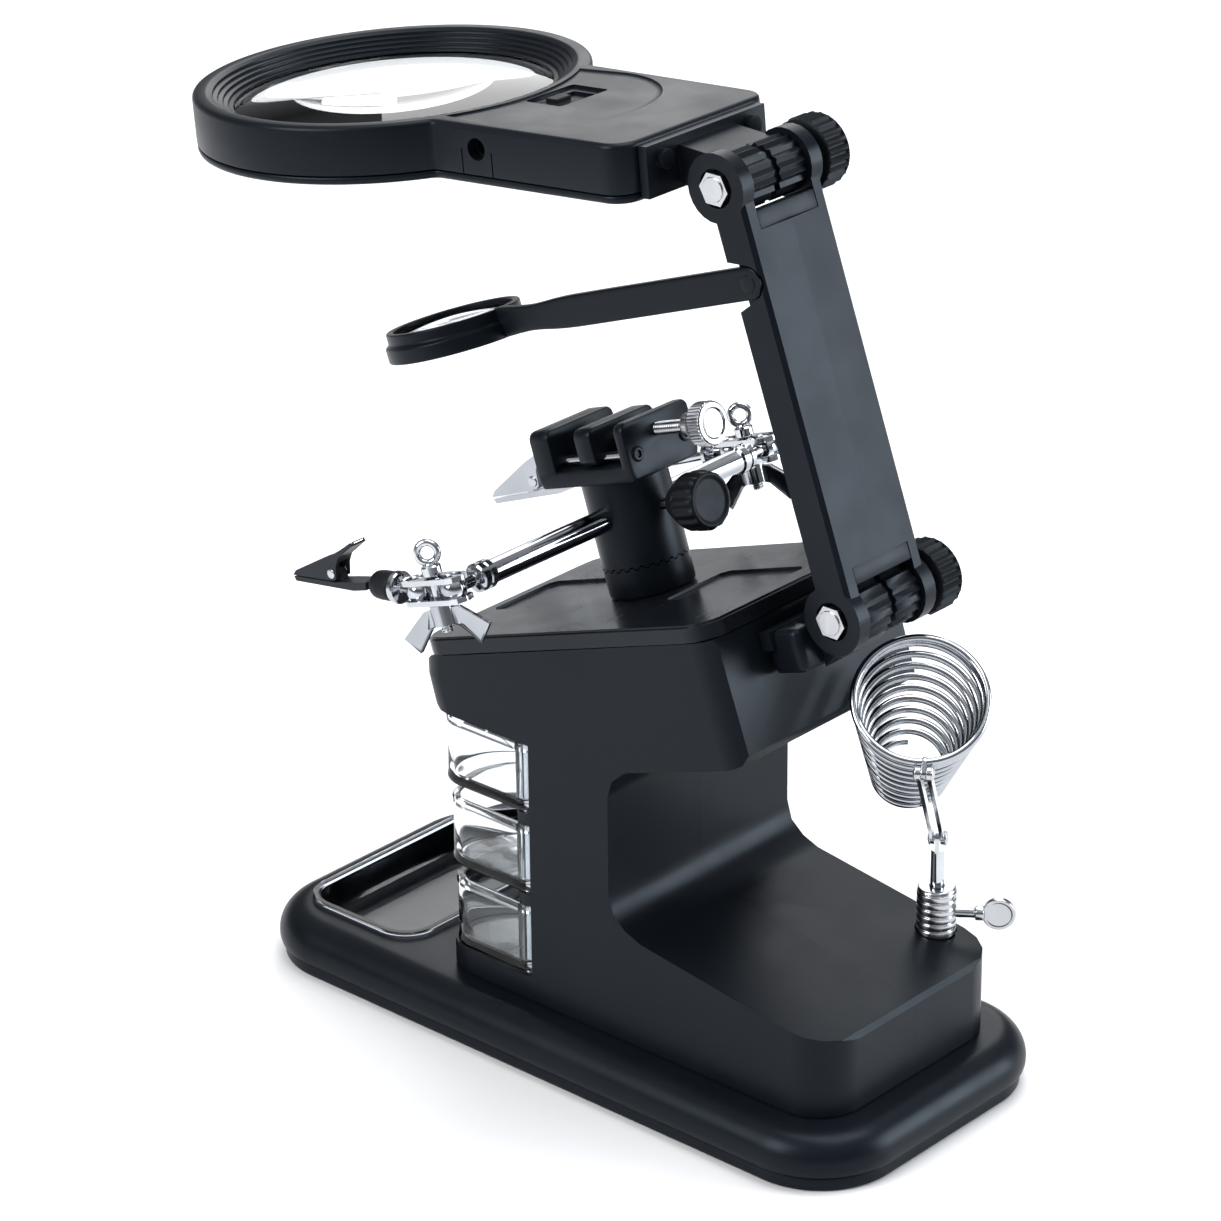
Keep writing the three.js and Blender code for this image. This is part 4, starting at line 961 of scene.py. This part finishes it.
# %% [markdown]
# ## Rest for the iron
# A spring wound as a cone: the wire follows a helix whose radius shrinks along the axis.
# At the mouth the wire lies nearly closed for a little over one and a half turns. Two
# rivets on each pin hold the link.

# %% Cone spring
IRON_AT = np.array([78.9, 30.6, 0.0])  # the socket's axis
low_pin = IRON_AT + [0, 0, 68.4]
link = np.array([23.9, -37.6, 41.1])
top_pin = low_pin + link
out_of_mouth = np.array([0.459, -0.507, 0.729])
up = np.array([-0.489, 0.542, 0.684])
mouth = top_pin + up * 20.5 + out_of_mouth * 0.8
cone = place(mouth, up, -out_of_mouth)
CLOSED, COILS = 1.6, 9.5
t = np.linspace(-CLOSED, COILS, 900)
run = np.clip(t, 0, None) / COILS
rad, phase = 17.3 - 7.9 * run, 2 * np.pi * t + np.pi
rise = 1.1 + 55.2 * run + 2.1 * np.clip(-t, 0, None) / CLOSED
wire = tube("cone_spring_wound", at(cone, np.stack([rad * np.cos(phase), rad * np.sin(phase), rise], -1)), 1.05)
yaw = math.atan2(link[1], link[0])
across = np.array([-math.sin(yaw), math.cos(yaw), 0])
flat = (mouth - top_pin) - across * ((mouth - top_pin) @ across)
tab = block("tab", -1.6, 4.4, -1.6, 1.6, -0.6, 0.6, place(top_pin, flat, across), 1.5, 0.15)
dress(joined("iron_basket_wound", [wire, tab]), DARKCHROME, nodes=("iron_spring",))
rivet = soft_path([(0, 1.9), (2.1, 1.9), (2.1, 2.3), (1.2, 2.75), (0, 2.8)], 0.25)
for i, pin_at in enumerate((top_pin, low_pin)):
    for way in (1, -1):
        cap = turned("link_rivet_%d%d" % (i, way > 0), rivet, along(pin_at, across * way), 32)
        dress(cap, NICKEL, body="iron_arm")
softened("iron_link", 0.3, CHROME, angle=35)
softened("iron_post", 0.25, CHROME, angle=40)

# %% [markdown]
# The post stands in a ribbed socket, and a flat thumb screw is there to lock it. The ribs
# are steps in a turned profile; the screw is a shank and a coin whose rim is raised.

# %% Socket and thumb screw
rib = [(0, 39.9), (5.3, 39.9)]
for z0 in 40.4 + 2.15 * np.arange(6):
    rib += [(5.4, z0), (5.4, z0 + 1.45), (5.0, z0 + 1.65), (5.0, z0 + 1.95)]
rib += [(5.35, 53.4), (4.9, 54.0), (2.1, 54.0), (2.0, 53.6), (2.0, 42.3), (0, 42.3)]
dress(turned("iron_socket_ribbed", soft_path(rib, 0.15, 2), along(IRON_AT, (0, 0, 1)), 64), NICKEL,
      nodes=("iron_socket",))
screw_way = np.array([0.8, 0.6, 0.0])
screw_at = IRON_AT + [0, 0, 46]
shank = turned("shank", soft_path([(0, 2.4), (1.4, 2.4), (1.4, 10.3), (2.1, 10.6), (2.1, 12.6), (1.3, 13.2),
                                   (0, 13.2)], 0.2), along(screw_at, screw_way), 40)
coin_line = soft_path([(0, -0.75), (3.4, -0.8), (3.7, -1.0), (4.4, -1.0), (4.6, -0.6), (4.6, 0.6), (4.4, 1.0),
                       (3.7, 1.0), (3.4, 0.8), (0, 0.75)], 0.15)
coin = turned("coin", coin_line, along(screw_at + screw_way * 16.8, np.cross(screw_way, (0, 0, 1))), 64)
dress(joined("iron_screw_turned", [shank, coin]), NICKEL, nodes=("iron_screw",))
print("rest done")

# %% [markdown]
# ## Camera, floor and light
# The camera stands high on the right of the drawers' side with a long lens. A pale floor
# and large soft panels light the black shells from above and both sides, which is what
# gives moulded black its grey gradients and plating its white bands.

# %% Camera
def standing(axes, origin):
    """The matrix of an object whose x, y and z run along three directions, at a point."""
    return Matrix([[axis[i] for axis in axes] + [origin[i]] for i in range(3)] + [[0, 0, 0, 1]])


cam = bpy.data.cameras.new("camera")
cam.lens, cam.sensor_width, cam.clip_end = 135.45, 36.0, 20.0
cam_obj = bpy.data.objects.new("camera", cam)
bpy.context.scene.collection.objects.link(cam_obj)
az, el, roll = math.radians(42.10), math.radians(24.48), math.radians(-0.60)
back = np.array([math.sin(az) * math.cos(el), -math.cos(az) * math.cos(el), math.sin(el)])
level = np.cross(-back, (0, 0, 1))
level /= np.linalg.norm(level)
over = np.cross(back, level)
cam_obj.matrix_world = standing((math.cos(roll) * level + math.sin(roll) * over,
                                 math.cos(roll) * over - math.sin(roll) * level, back),
                                (0.7474, -0.8390, 0.6340))
bpy.context.scene.camera = cam_obj
bpy.context.scene.view_settings.view_transform = "Standard"
print("camera", cam.lens, "mm")

# %% [markdown]
# The world is a gradient in height, read from the direction of view: grey at the horizon,
# a dark belt above it, so that plating has something dark to mirror, and pale overhead.

# %% Floor and world
bpy.ops.mesh.primitive_plane_add(size=14, location=(0, 0, -0.0002))
ground = bpy.context.object
ground.name = "floor"
ground.data.materials.append(material("pale_floor", (0.86, 0.86, 0.87), 0.6)[0])
studio = bpy.data.worlds.new("studio")
bpy.context.scene.world = studio
studio.use_nodes = True
wt = studio.node_tree
direction, split = wt.nodes.new("ShaderNodeTexCoord"), wt.nodes.new("ShaderNodeSeparateXYZ")
sky = wt.nodes.new("ShaderNodeValToRGB")
first, last = sky.color_ramp.elements
first.color, first.position = (0.55, 0.56, 0.58, 1), 0.0
last.color, last.position = (0.95, 0.97, 1.0, 1), 1.0
for height, v in ((0.1, 0.32), (0.3, 0.07), (0.55, 0.4)):
    sky.color_ramp.elements.new(height).color = (v, v * 1.02, v * 1.06, 1)
wt.links.new(direction.outputs["Generated"], split.inputs["Vector"])
wt.links.new(split.outputs["Z"], sky.inputs["Fac"])
wt.links.new(sky.outputs["Color"], wt.nodes["Background"].inputs["Color"])
wt.nodes["Background"].inputs["Strength"].default_value = 0.9


# %% Lights
def panel(name, loc, aim, size, power, tone=(1, 1, 1)):
    """An area light at loc that faces aim."""
    light = bpy.data.lights.new(name, "AREA")
    light.shape, light.size, light.size_y = "RECTANGLE", size[0], size[1]
    light.energy, light.color = power, tone
    obj = bpy.data.objects.new(name, light)
    bpy.context.scene.collection.objects.link(obj)
    obj.matrix_world = standing(along(loc, np.array(loc, float) - np.array(aim, float))[1], loc)


panel("key", (-0.5, -1.5, 1.1), (0, 0, 0.12), (1.0, 0.9), 26, (1.0, 1.0, 1.0))
panel("top", (0.1, 0.3, 1.7), (0, 0, 0.1), (1.4, 1.2), 24)
panel("side", (1.25, 1.05, 0.5), (0, 0, 0.15), (0.9, 0.8), 22, (0.90, 0.95, 1.0))
panel("rear", (-0.9, 1.3, 0.9), (0, 0, 0.15), (1.0, 0.9), 7)

# %% Finish
bpy.context.view_layer.update()
